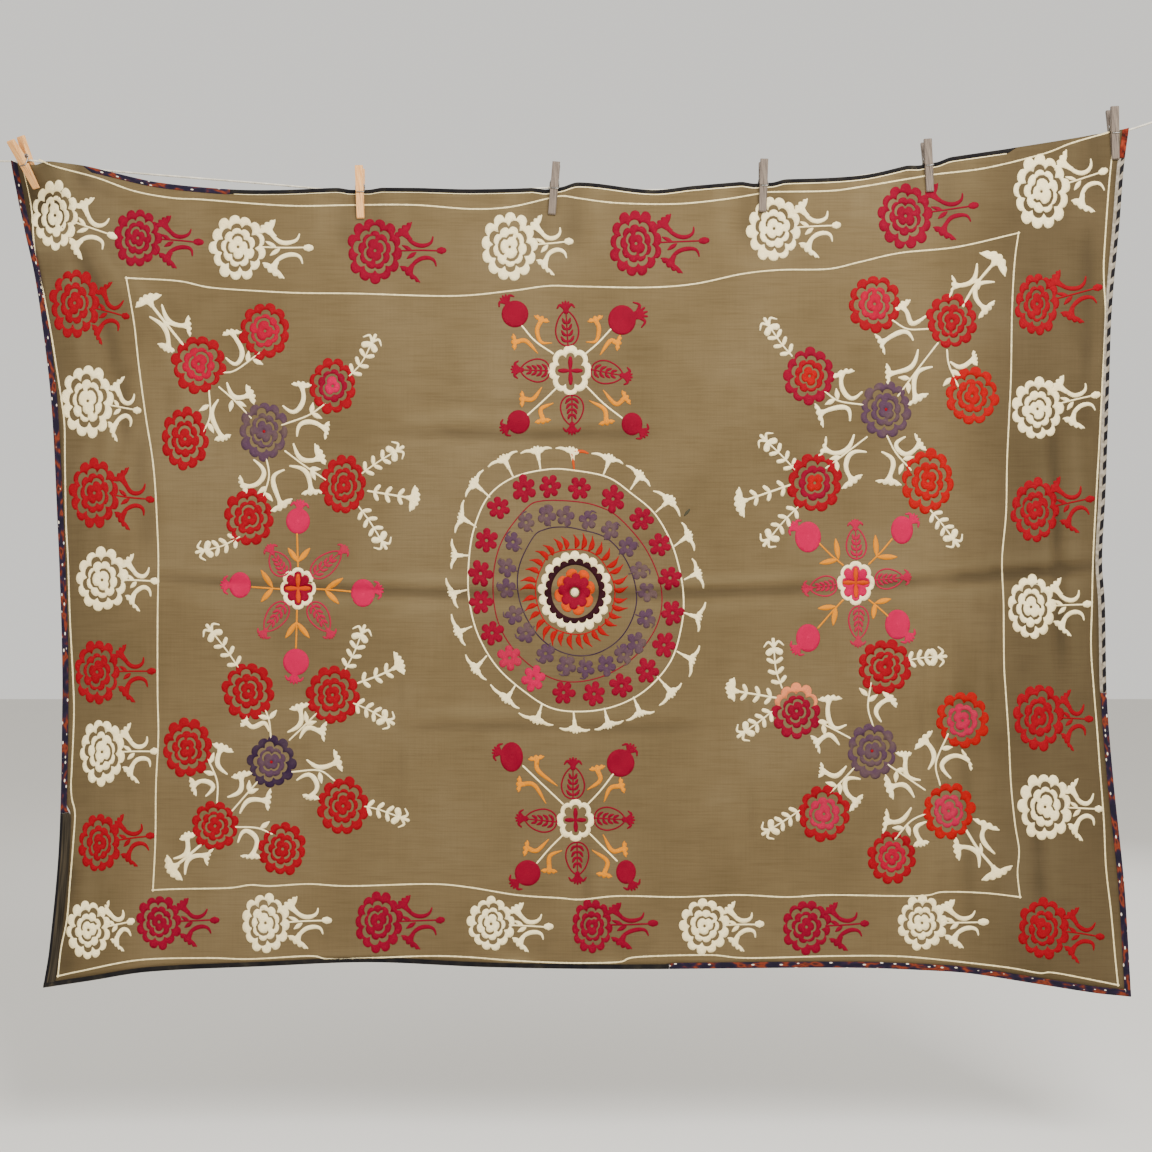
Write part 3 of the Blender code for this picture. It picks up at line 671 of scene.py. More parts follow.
@dataclass
class Cloth:
    """The hanging cloth: its shape, and the fine sheet with all its folds.

    Fields are in millimetres, apart from the counts of columns and rows.
    """

    columns: int = 228
    rows: int = 170
    thickness: float = 1.0
    seam_run: float = 6.0
    flat_width: float = 1570.0
    flat_length: float = 1180.0
    tree: Optional[BVHTree] = None
    edges: dict[str, EdgeCurve] = field(default_factory=lambda: {
        "top": EdgeCurve(TOP_EDGE),
        "bottom": EdgeCurve(BOTTOM_EDGE),
        "left": EdgeCurve(LEFT_EDGE),
        "right": EdgeCurve(RIGHT_EDGE),
    })

    def hang(self, x: np.ndarray, z: np.ndarray) -> np.ndarray:
        """The Y of the cloth's middle where no peg holds it."""
        y = np.full_like(x, -LINE_DEPTH - HANG_FORWARD)
        for shape in SWELLS + FOLDS + CREASES + RIPPLES:
            y += shape.moved(x, z)
        return y

    def depth(self, x: np.ndarray, z: np.ndarray) -> np.ndarray:
        """The Y of the cloth's middle, flat in each peg's jaws and soft between them."""
        y = self.hang(x, z)
        for peg in PEGS:
            front, middle = peg.front(), peg.middle()
            side = 1.0 - smooth(CLAMP_FLAT, CLAMP_FADE, np.abs(x - peg.x) - abs(peg.lean))
            drop = 1.0 - smooth(CLAMP_DROP, CLAMP_DROP + CLAMP_DROP_FADE, peg.z - z)
            plane = middle.y - (front.x * (x - middle.x) + front.z * (z - middle.z)) / front.y
            y = y + (plane - y) * side * drop
        return y

    def place(self, u: np.ndarray, v: np.ndarray) -> np.ndarray:
        """X, Y and Z of the sheet in millimetres, by its shares of the width and height."""
        top, bottom = self.edges["top"], self.edges["bottom"]
        left, right = self.edges["left"], self.edges["right"]
        across, down = u[..., None], v[..., None]
        flat = top.at(u) * (1 - down) + bottom.at(u) * down
        flat = flat + left.at(v) * (1 - across) + right.at(v) * across
        corners = [edge.at(np.array(end)) for edge in (top, bottom) for end in (0.0, 1.0)]
        flat = flat - (corners[0] * (1 - across) + corners[1] * across) * (1 - down)
        flat = flat - (corners[2] * (1 - across) + corners[3] * across) * down
        x, z = flat[..., 0], flat[..., 1]
        for peg in PEGS:
            tuck = peg.tuck * (1.0 - smooth(TUCK_FLAT, TUCK_END, np.abs(x - peg.x)))
            z = z - tuck * (1.0 - smooth(0.0, TUCK_FADE, v))
        return along_sight(x, z, self.depth)

    def inset(self, edge: str, share: np.ndarray) -> np.ndarray:
        """The share of the sheet that the strips along an edge take at each share of it."""
        run = self.seam_run / self.edges[edge].length
        spread = self.edges["bottom" if edge in ("left", "right") else "left"].length
        profile = []
        for strip in (strip for strip in STRIPS if strip.edge == edge):
            if free_end(edge, strip.start):
                profile.append((strip.start - run, 0.0))
            profile += [(strip.start + run, strip.width), (strip.end - run, strip.width)]
            if free_end(edge, strip.end):
                profile.append((strip.end + run, 0.0))
        marks, widths = zip(*profile)
        return np.interp(share, marks, widths) / spread

    def inside(self, u: np.ndarray, v: np.ndarray) -> tuple[np.ndarray, np.ndarray]:
        """Shares of the whole sheet, from shares of the cloth inside its edging."""
        left, right = self.inset("left", v), self.inset("right", v)
        top, bottom = self.inset("top", u), self.inset("bottom", u)
        return left + u * (1 - left - right), top + v * (1 - top - bottom)

    def build(self, material: bpy.types.Material) -> bpy.types.Object:
        """The sheet itself, front and back, closed along its edges.

        Args:
            material: its finish.

        Returns:
            The cloth's object, with the attribute by which its finish paints shade into the valleys of its
            folds and highlight on their ridges.
        """
        u, v = np.meshgrid(np.linspace(0, 1, self.columns), np.linspace(0, 1, self.rows))
        grid = self.place(*self.inside(u, v))
        across, down = np.gradient(grid, axis=1), np.gradient(grid, axis=0)
        normal = np.cross(down, across)
        normal /= np.linalg.norm(normal, axis=2, keepdims=True)
        front = (grid + normal * self.thickness / 2).reshape(-1, 3) * MM
        back = (grid - normal * self.thickness / 2).reshape(-1, 3) * MM
        numbers = np.arange(self.rows * self.columns).reshape(self.rows, self.columns)
        quads = np.stack([numbers[:-1, :-1], numbers[1:, :-1], numbers[1:, 1:], numbers[:-1, 1:]], axis=-1)
        quads = quads.reshape(-1, 4)
        count = numbers.size
        rim = np.concatenate([
            numbers[0, ::-1], numbers[1:, 0], numbers[-1, 1:], numbers[-2:0:-1, -1]
        ])
        after = np.roll(rim, -1)
        sides = np.stack([after, rim, rim + count, after + count], axis=-1)
        faces = np.concatenate([quads, quads[:, ::-1] + count, sides])
        made = make_object("cloth_sheet", np.vstack([front, back]), faces.tolist(), material)
        fold_shading = self.fold_shading(grid[..., 1])
        add_attribute(made.data, "fold_shading", np.concatenate([fold_shading, fold_shading]))
        self.tree = BVHTree.FromPolygons(front.tolist(), quads.tolist())
        return made

    def fold_shading(self, y: np.ndarray) -> np.ndarray:
        """How deep each place lies in a valley, from -1 on a ridge to 1, one number a point, for the painted
        shade in the valleys and painted highlight on the ridges.
        """
        near, wide = y, y
        for _ in range(NEAR_BLURS):
            near = self.blurred(near)
        for _ in range(WIDE_BLURS):
            wide = self.blurred(wide)
        return np.clip((near - wide) / VALLEY_DEPTH, -1.0, 1.0).ravel()

    @staticmethod
    def blurred(y: np.ndarray) -> np.ndarray:
        """The grid with each point drawn towards its neighbours."""
        more = np.pad(y, 1, mode="edge")
        return (
            2 * more[1:-1, 1:-1] + more[:-2, 1:-1] + more[2:, 1:-1] + more[1:-1, :-2] + more[1:-1, 2:]
        ) / 6

    def surface(self, x: np.ndarray, z: np.ndarray) -> np.ndarray:
        """The Y of the cloth's front face over some places, all in millimetres."""
        found = np.full(len(x), np.nan)
        for index, (across, up) in enumerate(zip(x * MM, z * MM)):
            hit = self.tree.ray_cast(Vector((across, -0.5, up)), Vector((0.0, 1.0, 0.0)))[0]
            if hit is not None:
                found[index] = hit.y / MM
        missed = np.isnan(found)
        if missed.any():
            found[missed] = self.depth(x[missed], z[missed]) - self.thickness / 2
        return found

    def on_front(self, places: np.ndarray) -> np.ndarray:
        """Measured places moved on to the cloth's front face, in millimetres."""
        return along_sight(places[:, 0], places[:, 1], self.surface)


class Yarn(Enum):
    """The yarns of the stitching: each one's sRGB colour and its worn colour."""

    CREAM = ("#ffecb6", "#f8dda0")
    CRIMSON = ("#7e0021", "#6e001c")
    RED = ("#8c0012", "#7c000f")
    BRIGHT = ("#9e0405", "#8c0404")
    ROSE = ("#a00028", "#900024")
    PINK = ("#b40040", "#a60038")
    CORAL = ("#a41038", "#98303c")
    GOLD = ("#d88200", "#c87400")
    ORANGE = ("#c04000", "#b84400")
    FADED = ("#4a3242", "#5a473f")
    PURPLE = ("#2a1730", "#42323a")
    MAROON = ("#25060e", "#360b14")
    PEACH = ("#d97a4c", "#c06c4c")
    SMUDGE = ("#33342a", "#46422f")


@dataclass
class Patch:
    """One area of stitching: outlines added together, and outlines cut out of them, in pixels."""

    fills: list[np.ndarray]
    cuts: list[np.ndarray] = field(default_factory=list)
    spine: list[np.ndarray] = field(default_factory=list)


def merged(patches: Sequence[Patch]) -> Patch:
    """Several patches as one."""
    whole = Patch([])
    for patch in patches:
        whole.fills += patch.fills
        whole.cuts += patch.cuts
        whole.spine += patch.spine
    return whole


def ribbon(points: Sequence[Point], widths: Sequence[float], step: float = 2.2) -> Patch:
    """A band of stitching along a curve, with round ends where it is wide there.

    Args:
        points: the curve's places, in pixels.
        widths: its width at even shares of the length.
        step: how far apart the outline's points are.

    Returns:
        The patch.
    """
    path = smooth_path(points, step)
    marks = np.concatenate([[0.0], np.cumsum(np.linalg.norm(np.diff(path, axis=0), axis=1))])
    half = np.interp(marks / marks[-1], np.linspace(0, 1, len(widths)), widths) / 2
    way = np.gradient(path, axis=0)
    way /= np.maximum(np.linalg.norm(way, axis=1, keepdims=True), 1e-9)
    side = np.column_stack([way[:, 1], -way[:, 0]])
    outline = [path + side * half[:, None]]
    outline.append(round_end(path[-1], way[-1], side[-1], half[-1]))
    outline.append((path - side * half[:, None])[::-1])
    outline.append(round_end(path[0], -way[0], -side[0], half[0]))
    return Patch([np.vstack(outline)], [], [path[1:-1]])


def heading(start: Point, end: Point) -> tuple[np.ndarray, np.ndarray]:
    """The way from one place to another and the way to its right, both of length one."""
    way = np.array(end, float) - np.array(start, float)
    way /= np.linalg.norm(way)
    return way, np.array([way[1], -way[0]])


def round_end(middle: np.ndarray, way: np.ndarray, side: np.ndarray, half: float) -> np.ndarray:
    """The points round the end of a ribbon, or none where it is narrow."""
    if half < 0.7:
        return np.empty((0, 2))
    angles = np.radians([30.0, 60.0, 90.0, 120.0, 150.0]) if half > 1.4 else np.radians([60.0, 120.0])
    return middle + half * (np.cos(angles)[:, None] * side + np.sin(angles)[:, None] * way)


@dataclass(frozen=True)
class Lobes:
    """A ring of round lobes about a centre, some of them a little larger than others.

    Radii are in pixels, depth is the lobes' share of the radius, and turn is in degrees.
    """

    x: float
    y: float
    wide: float
    tall: float
    count: int
    depth: float
    turn: float = 0.0
    uneven: float = 0.0
    seed: int = 0

    def arc(self, start: float, end: float, each: int = 7) -> np.ndarray:
        """Places from one angle to another in degrees, with each lobe in that many pieces."""
        low, high = math.radians(start - self.turn), math.radians(end - self.turn)
        size = 2 * math.pi / self.count / each
        steps = size * np.arange(math.ceil(low / size - 1e-6), math.floor(high / size + 1e-6) + 1)
        steps = steps[(steps > low + 1e-4) & (steps < high - 1e-4)]
        angles = np.concatenate([[low], steps, [high]])
        place = angles / (2 * math.pi) * self.count % self.count
        lobe = place.astype(int) % self.count
        across = 2 * (place - np.floor(place)) - 1
        rng = random.Random(self.seed)
        sizes = np.array([1.0 + self.uneven * rng.uniform(-1, 1) for _ in range(self.count)])
        bulge = np.sqrt(np.maximum(0.0, 1 - 0.97 * across**2))
        share = (1 - self.depth) + self.depth * sizes[lobe] * bulge
        angles = angles + math.radians(self.turn)
        return np.column_stack([
            self.x + self.wide * share * np.cos(angles), self.y + self.tall * share * np.sin(angles)
        ])

    def outline(self, each: int = 7) -> np.ndarray:
        """The whole outline, each lobe in that many pieces."""
        return self.arc(self.turn, self.turn + 360.0, each)[:-1]


def disc(x: float, y: float, wide: float, tall: float, points: int = 14) -> np.ndarray:
    """A round or oval outline, with half its width and half its height."""
    angles = np.linspace(0, 2 * math.pi, points, endpoint=False)
    return np.column_stack([x + wide * np.cos(angles), y + tall * np.sin(angles)])


@dataclass(frozen=True)
class Rosette:
    """A layered rosette: its centre, width and height in pixels, and the yarns of its layers."""

    x: float
    y: float
    width: float
    height: float
    outer: Yarn
    inner: Optional[Yarn] = None
    core: Optional[Yarn] = None
    dot: Optional[Yarn] = None
    scallops: int = 12
    patched: Optional[Yarn] = None

    def layers(self) -> list[tuple[Yarn, Patch]]:
        """Its stitched layers, from the outer band to the middle.

        Returns:
            Pairs of a yarn and its patch.
        """
        rng = random.Random(int(self.x * 7 + self.y * 13))
        inner, core = self.inner or self.outer, self.core or self.inner or self.outer
        turn, slant, seed = rng.uniform(0, 360), rng.uniform(0, 360), rng.randrange(1000)

        def lobes(size: float, count: int, depth: float, start: float, shift: int) -> Lobes:
            """A ring of lobes about the rosette's centre, by its share of the rosette's size."""
            return Lobes(
                self.x, self.y, self.width / 2 * size, self.height / 2 * size, count, depth, start, 0.3,
                seed + shift,
            )

        outer = lobes(1.03, self.scallops, 0.19, turn, 0)
        hole, heart = lobes(0.775, 9, 0.26, slant, 1), lobes(0.61, 9, 0.17, slant, 1)
        petals = 3 + int(self.x + self.y) % 2
        line, middle = lobes(0.44, petals, 0.36, slant + 20, 3), lobes(0.345, petals, 0.4, slant + 20, 3)
        made = [(self.outer, Patch([outer.outline()], [hole.outline(6)]))]
        if self.patched:
            band = [outer.arc(195, 345), hole.arc(195, 345, 6)[::-1]]
            made = [
                (self.outer, Patch([np.vstack([outer.arc(-15, 195), hole.arc(-15, 195, 6)[::-1]])])),
                (self.patched, Patch([np.vstack(band)])),
            ]
        dot = disc(self.x, self.y, 1.5, 1.6, 8)
        if core is inner:
            gaps = []
            for start in (slant + 24, slant + 204):
                reach = rng.uniform(140, 164)
                gaps.append(np.vstack([
                    line.arc(start, start + reach, 6), middle.arc(start, start + reach, 6)[::-1]
                ]))
            made.append((inner, Patch([heart.outline(6)], gaps + [dot])))
        else:
            made.append((inner, Patch([heart.outline(6)], [line.outline(6)])))
            made.append((core, Patch([middle.outline(6)], [dot])))
        if self.dot:
            made.append((self.dot, Patch([disc(self.x, self.y, 1.7, 1.8, 8)])))
        return made


def flared(
    root: Point, top: Point, ends: Sequence[Point], neck: float, lobes: int = 4
) -> Patch:
    """A head that flares from its neck to two curled ends, with small lobes between them.

    Args:
        root: the middle of the neck.
        top: the middle of the lobed edge.
        ends: the two curled ends.
        neck: the neck's width, in pixels.
        lobes: how many small lobes there are.

    Returns:
        The patch.
    """
    foot, peak = np.array(root, float), np.array(top, float)
    tall = float(np.linalg.norm(peak - foot))
    way, side = heading(foot, peak)
    first, last = sorted(
        (np.array(end, float) for end in ends), key=lambda end: -float((end - foot) @ side)
    )
    flanks = []
    t = np.linspace(0, 1, 7)[:, None]
    for corner, end in ((foot + side * neck / 2, first), (foot - side * neck / 2, last)):
        bend = corner + way * max(float((end - corner) @ way) * 0.95, tall * 0.5)
        flanks.append(corner * (1 - t) ** 2 + 2 * bend * t * (1 - t) + end * t**2)
    t = np.linspace(0, 1, 6 * lobes + 1)[1:-1, None]
    rise = float((peak - (first + last) / 2) @ way)
    height = np.sin(math.pi * t) ** 0.7 * rise + 1.9 * np.abs(np.sin(lobes * math.pi * t)) - 1.0
    edge = first + (last - first) * t + way * height
    tips = [ribbon([flank[3], flank[-1]], (1.6, 2.6, 2.2, 1.4), 1.8) for flank in flanks]
    middle = np.array([foot + way * tall * share for share in (0.25, 0.5, 0.75)])
    return merged([Patch([np.vstack([flanks[0], edge, flanks[1][::-1]])], [], [middle])] + tips)


def hook(points: Sequence[Point], width: float = 5.0) -> Patch:
    """A curved leaf with a small tulip head: its tip, belly and head, then the head's two ends.

    Args:
        points: the tip, the places along the belly, the head, and both ends of the head.
        width: how wide the belly is, in pixels.

    Returns:
        The patch.
    """
    body, ends = rounded(points[:-2]), points[-2:]
    path = smooth_path(body, 1.0)
    root = path[max(0, len(path) - 9)]
    way, _side = heading(root, path[-1])
    belly = ribbon(body, (1.8, width * 0.76, width, width * 0.86, width * 0.7))
    return merged([belly, flared(root, path[-1] + way * 4.2, ends, width * 0.75, 4)])


def leaf(base: Point, tip: Point, width: float = 4.4) -> Patch:
    """A small almond leaf from its base to its tip."""
    return ribbon([base, tip], (0.8, width * 0.85, width, width * 0.6, 0.7), 1.9)


def tulip(points: Sequence[Point], left: Point, right: Point, width: float = 2.6) -> Patch:
    """A stem that ends in a tulip head with five scallops.

    Args:
        points: the stem's places, the last one at the middle of the head.
        left: one curled end of the head.
        right: the other.
        width: the stem's width, in pixels.

    Returns:
        The patch.
    """
    head = np.array(points[-1], float)
    way, _side = heading(points[-2], head)
    stem = ribbon(points, (width, width, width + 0.6))
    return merged([stem, flared(head - way * 10.0, head + way * 3.4, (left, right), width + 1.6, 5)])


def blossom(points: Sequence[Point]) -> Patch:
    """The end of a sprig: a stem, two fat petals that hang back, and a crown of curled tips."""
    head = np.array(points[-1], float)
    way, side = heading(points[-2], head)
    parts = [ribbon([*points[:-1], head + way * 3], (1.5, 1.5, 1.6))]
    for sign in (-1, 1):
        out = side * sign
        parts.append(ribbon([head + way * 0.5, head + out * 5.6 - way * 3.4], (3.0, 6.0, 6.4)))
        curl = [head + way * 2, head + out * 5.0 + way * 7.2, head + out * 10.2 + way * 2.6]
        parts.append(ribbon(curl, (2.4, 2.6, 1.2)))
    parts.append(ribbon([head, head + way * 9.6], (2.8, 3.0, 3.4)))
    return merged(parts)


def sprig_leaves(points: Sequence[Point], pairs: int = 3) -> list[Patch]:
    """Pairs of round leaves along a sprig's stem, leaning forward."""
    path = smooth_path(points, 1.0)
    made = []
    for pair in range(pairs):
        index = int(len(path) * (0.12 + 0.25 * pair))
        base = path[index]
        way, side = heading(base, path[min(index + 3, len(path) - 1)])
        for sign in (-1, 1):
            tip = base + way * 4.4 + side * sign * 6.6
            made.append(ribbon([base, tip], (1.0, 3.6, 4.4, 3.6), 1.9))
    return made


BORDER_RIM, BORDER_REACH = 27.0, 71.6


@dataclass(frozen=True)
class BorderMotif:
    """A rosette of the border with its stem, leaves and two horns, and the tip of its stem."""

    yarn: Yarn
    x: float
    y: float
    width: float
    height: float
    tip_x: float
    tip_y: float

    def layers(self) -> list[tuple[Yarn, Patch]]:
        """The rosette's layers and one patch with the rest."""
        layers = Rosette(
            self.x, self.y, self.width, self.height, self.yarn, scallops=13
        ).layers()
        way = np.array([self.tip_x - self.x, self.tip_y - self.y], float)
        length = float(np.linalg.norm(way))
        way /= length
        down = np.array([-way[1], way[0]])
        rim = self.width / 2
        stretch = (length - rim) / (BORDER_REACH - BORDER_RIM)
        tall = self.height / 65.0
        rng = random.Random(int(self.x * 3 + self.y * 5))

        def spot(along: float, across: float) -> Point:
            """A place by its distance beyond the rosette's middle, and below the stem."""
            reach = along * rim / BORDER_RIM
            if along > BORDER_RIM:
                reach = rim + (along - BORDER_RIM) * stretch
            place = way * (reach + rng.uniform(-0.5, 0.5)) + down * (across * tall + rng.uniform(-0.4, 0.4))
            return (self.x + float(place[0]), self.y + float(place[1]))

        parts = [ribbon([spot(22, 0), spot(44, 0), spot(64, 0)], (1.6, 1.6, 1.6))]
        parts.append(ribbon([spot(64.5, 0), spot(69.0, 0)], (5.8, 7.6, 5.8)))
        parts.append(ribbon([spot(37, -0.5), spot(27, -5.6)], (0.8, 3.2, 3.9, 2.8, 0.8), 1.9))
        parts.append(ribbon([spot(41, 1.4), spot(31.5, 8.0)], (0.8, 3.8, 4.6, 3.2, 0.8), 1.9))
        upper = [
            spot(58, -14), spot(56.5, -9), spot(50.5, -5), spot(42, -5.6), spot(34.5, -11.6), spot(31, -16)
        ]
        lower = [
            spot(61.5, 15.6), spot(59.5, 9.6), spot(51.5, 7), spot(43.5, 9.2), spot(37, 15), spot(34.5, 20)
        ]
        for body in (upper, lower):
            parts.append(ribbon(rounded(body), (1.4, 3.2, 4.4, 4.4, 3.8, 3.8)))
        parts.append(flared(spot(36, -10.2), spot(24.5, -21.5), (spot(19.5, -14.5), spot(36, -28)), 4.2))
        parts.append(flared(spot(38.4, 13.6), spot(32, 25.4), (spot(25.6, 16), spot(45, 31.4)), 4.2))
        return layers + [(self.yarn, merged(parts))]


@dataclass(frozen=True)
class Link:
    """Cream stitching between rosettes: a stem, small leaves by their middles, and hooks."""

    stem: Path
    leaves: Path = ()
    hooks: tuple[Path, ...] = ()

    def patches(self) -> list[Patch]:
        """The stem with its leaves, and each hook."""
        path = smooth_path(self.stem, 1.0)
        parts = [ribbon(self.stem, (1.7, 1.7, 1.7))]
        for middle in self.leaves:
            heart = np.array(middle)
            gaps = np.linalg.norm(path - heart, axis=1)
            before = gaps[:int(np.argmin(gaps)) + 1]
            joint = path[int(np.argmin(np.abs(before - max(6.0, math.hypot(gaps.min(), 3.5)))))]
            reach = heading(joint, heart)[0] * 5.8
            parts.append(leaf(heart - reach, heart + reach, 5.2))
        return [merged(parts)] + [hook(points) for points in self.hooks]


@dataclass(frozen=True)
class Tulip:
    """A corner tulip: its stem up to the head, and the head's two curled ends."""

    stem: Path
    left: Point
    right: Point
    hooks: tuple[Path, ...] = ()

    def patches(self) -> list[Patch]:
        """The tulip with its two small leaves, and each hook."""
        path = smooth_path(self.stem, 1.0)
        base = path[int(len(path) * 0.52)]
        way, side = heading(base, path[int(len(path) * 0.3)])
        parts = [tulip(self.stem, self.left, self.right)]
        for sign in (-1, 1):
            parts.append(leaf(base, base + way * 9.5 + side * sign * 5.0, 3.6))
        return [merged(parts)] + [hook(points) for points in self.hooks]


@dataclass(frozen=True)
class Sprig:
    """A sprig from a rosette: its stem to the middle of its head, and a fan's ends if it has one."""

    stem: Path
    fan: Path = ()

    def patches(self) -> list[Patch]:
        """The stem with its head, and its pairs of leaves."""
        if self.fan:
            head = tulip(self.stem, self.fan[0], self.fan[1], 2.0)
            return [merged([head] + sprig_leaves(self.stem, 4))]
        return [merged([blossom(self.stem)] + sprig_leaves(self.stem, 3))]


BORDER = (
    BorderMotif(Yarn.CREAM, 54.8, 215.3, 45, 68, 116.7, 237),
    BorderMotif(Yarn.CRIMSON, 137.8, 238, 46, 57, 203, 242.5),
    BorderMotif(Yarn.CREAM, 238, 247, 54, 64, 313.5, 248),
    BorderMotif(Yarn.CRIMSON, 375, 250.6, 54, 65, 446.5, 250.6),
    BorderMotif(Yarn.CREAM, 509.6, 247, 54, 66, 572.7, 241),
    BorderMotif(Yarn.CRIMSON, 636, 243.5, 52, 65, 709, 240.6),
    BorderMotif(Yarn.CREAM, 774, 228.6, 52, 65, 841, 225),
    BorderMotif(Yarn.CRIMSON, 905.6, 216, 54, 63, 979, 205),
    BorderMotif(Yarn.CREAM, 1041.4, 191.5, 55, 73, 1108, 170),
    BorderMotif(Yarn.RED, 74.6, 303, 48, 68, 129, 317),
    BorderMotif(Yarn.CREAM, 87.7, 401, 51, 70, 140, 411),
    BorderMotif(Yarn.RED, 94.3, 493, 48, 67, 154, 500),
    BorderMotif(Yarn.CREAM, 102, 580, 50, 62, 158, 581),
    BorderMotif(Yarn.RED, 97, 672, 45, 63, 155, 671),
    BorderMotif(Yarn.CREAM, 102, 752, 44, 65, 158, 751),
    BorderMotif(Yarn.RED, 99.4, 843, 41, 58, 154, 835),
    BorderMotif(Yarn.CREAM, 88.4, 930, 42, 57, 133, 921),
    BorderMotif(Yarn.CRIMSON, 159, 922, 44, 53, 218.5, 920),
    BorderMotif(Yarn.CREAM, 265.4, 923, 47, 57, 332, 920),
    BorderMotif(Yarn.CRIMSON, 378.5, 922, 47, 59, 445, 920),
    BorderMotif(Yarn.CREAM, 491, 924, 46, 53, 552.5, 927),
    BorderMotif(Yarn.CRIMSON, 592, 926, 41, 51, 658, 923),
    BorderMotif(Yarn.CREAM, 704.5, 926, 48, 54, 763, 924),
    BorderMotif(Yarn.CRIMSON, 806.5, 927, 48, 53, 869, 923),
    BorderMotif(Yarn.CREAM, 922, 923, 47, 53, 988, 922),
    BorderMotif(Yarn.RED, 1043.6, 928.5, 50, 60, 1104, 937),
    BorderMotif(Yarn.RED, 1037, 304, 43, 61, 1102.6, 286),
    BorderMotif(Yarn.CREAM, 1037.5, 409, 49, 61, 1100, 394),
    BorderMotif(Yarn.RED, 1035, 510, 47, 63, 1094, 498),
    BorderMotif(Yarn.CREAM, 1031, 607, 47, 64, 1091, 604),
    BorderMotif(Yarn.RED, 1039, 717, 49, 66, 1092, 719),
    BorderMotif(Yarn.CREAM, 1045, 807, 51, 67, 1102, 809),
)

ROSETTES = (
    Rosette(198.6, 364, 52, 57, Yarn.RED, Yarn.ROSE),
    Rosette(265, 331, 50, 56, Yarn.RED, Yarn.ROSE),
    Rosette(185, 439, 46, 61, Yarn.RED),
    Rosette(264, 431.5, 47, 59, Yarn.FADED, dot=Yarn.RED),
    Rosette(332.6, 386, 47, 54, Yarn.RED, Yarn.CRIMSON, Yarn.PINK),
    Rosette(343.7, 485, 45, 59, Yarn.RED),
    Rosette(249, 517.5, 49, 57, Yarn.RED),
    Rosette(248.5, 691, 51, 56, Yarn.RED),
    Rosette(332.5, 695, 51, 58, Yarn.RED),
    Rosette(187.5, 748, 49, 58, Yarn.RED),
    Rosette(271.4, 762, 47, 51, Yarn.PURPLE, Yarn.FADED, dot=Yarn.RED),
    Rosette(343, 806, 49, 57, Yarn.RED),
    Rosette(215, 826, 46, 49, Yarn.RED),
    Rosette(282.6, 849, 46, 52, Yarn.RED),
    Rosette(874.6, 304, 52, 56, Yarn.RED, Yarn.ROSE),
    Rosette(951.7, 321, 50, 54, Yarn.RED),
    Rosette(972, 396, 52, 56, Yarn.BRIGHT),
    Rosette(886, 409.5, 50, 56, Yarn.FADED, dot=Yarn.RED),
    Rosette(809.5, 376, 50, 55, Yarn.CRIMSON, Yarn.RED, Yarn.BRIGHT),
    Rosette(814.7, 483, 54, 58, Yarn.RED, Yarn.CRIMSON, Yarn.BRIGHT),
    Rosette(928, 481, 52, 63, Yarn.BRIGHT),
    Rosette(885, 667, 52, 54, Yarn.RED),
    Rosette(796.5, 711, 48, 54, Yarn.CRIMSON, patched=Yarn.PEACH),
    Rosette(962.6, 720.5, 51, 56, Yarn.BRIGHT, Yarn.CORAL),
    Rosette(872, 751, 49, 55, Yarn.FADED, dot=Yarn.RED),
    Rosette(824, 814, 51, 54, Yarn.RED, Yarn.CORAL),
    Rosette(948.6, 811, 51, 55, Yarn.BRIGHT, Yarn.CORAL),
    Rosette(892, 857, 47, 51, Yarn.RED, Yarn.ROSE),
)

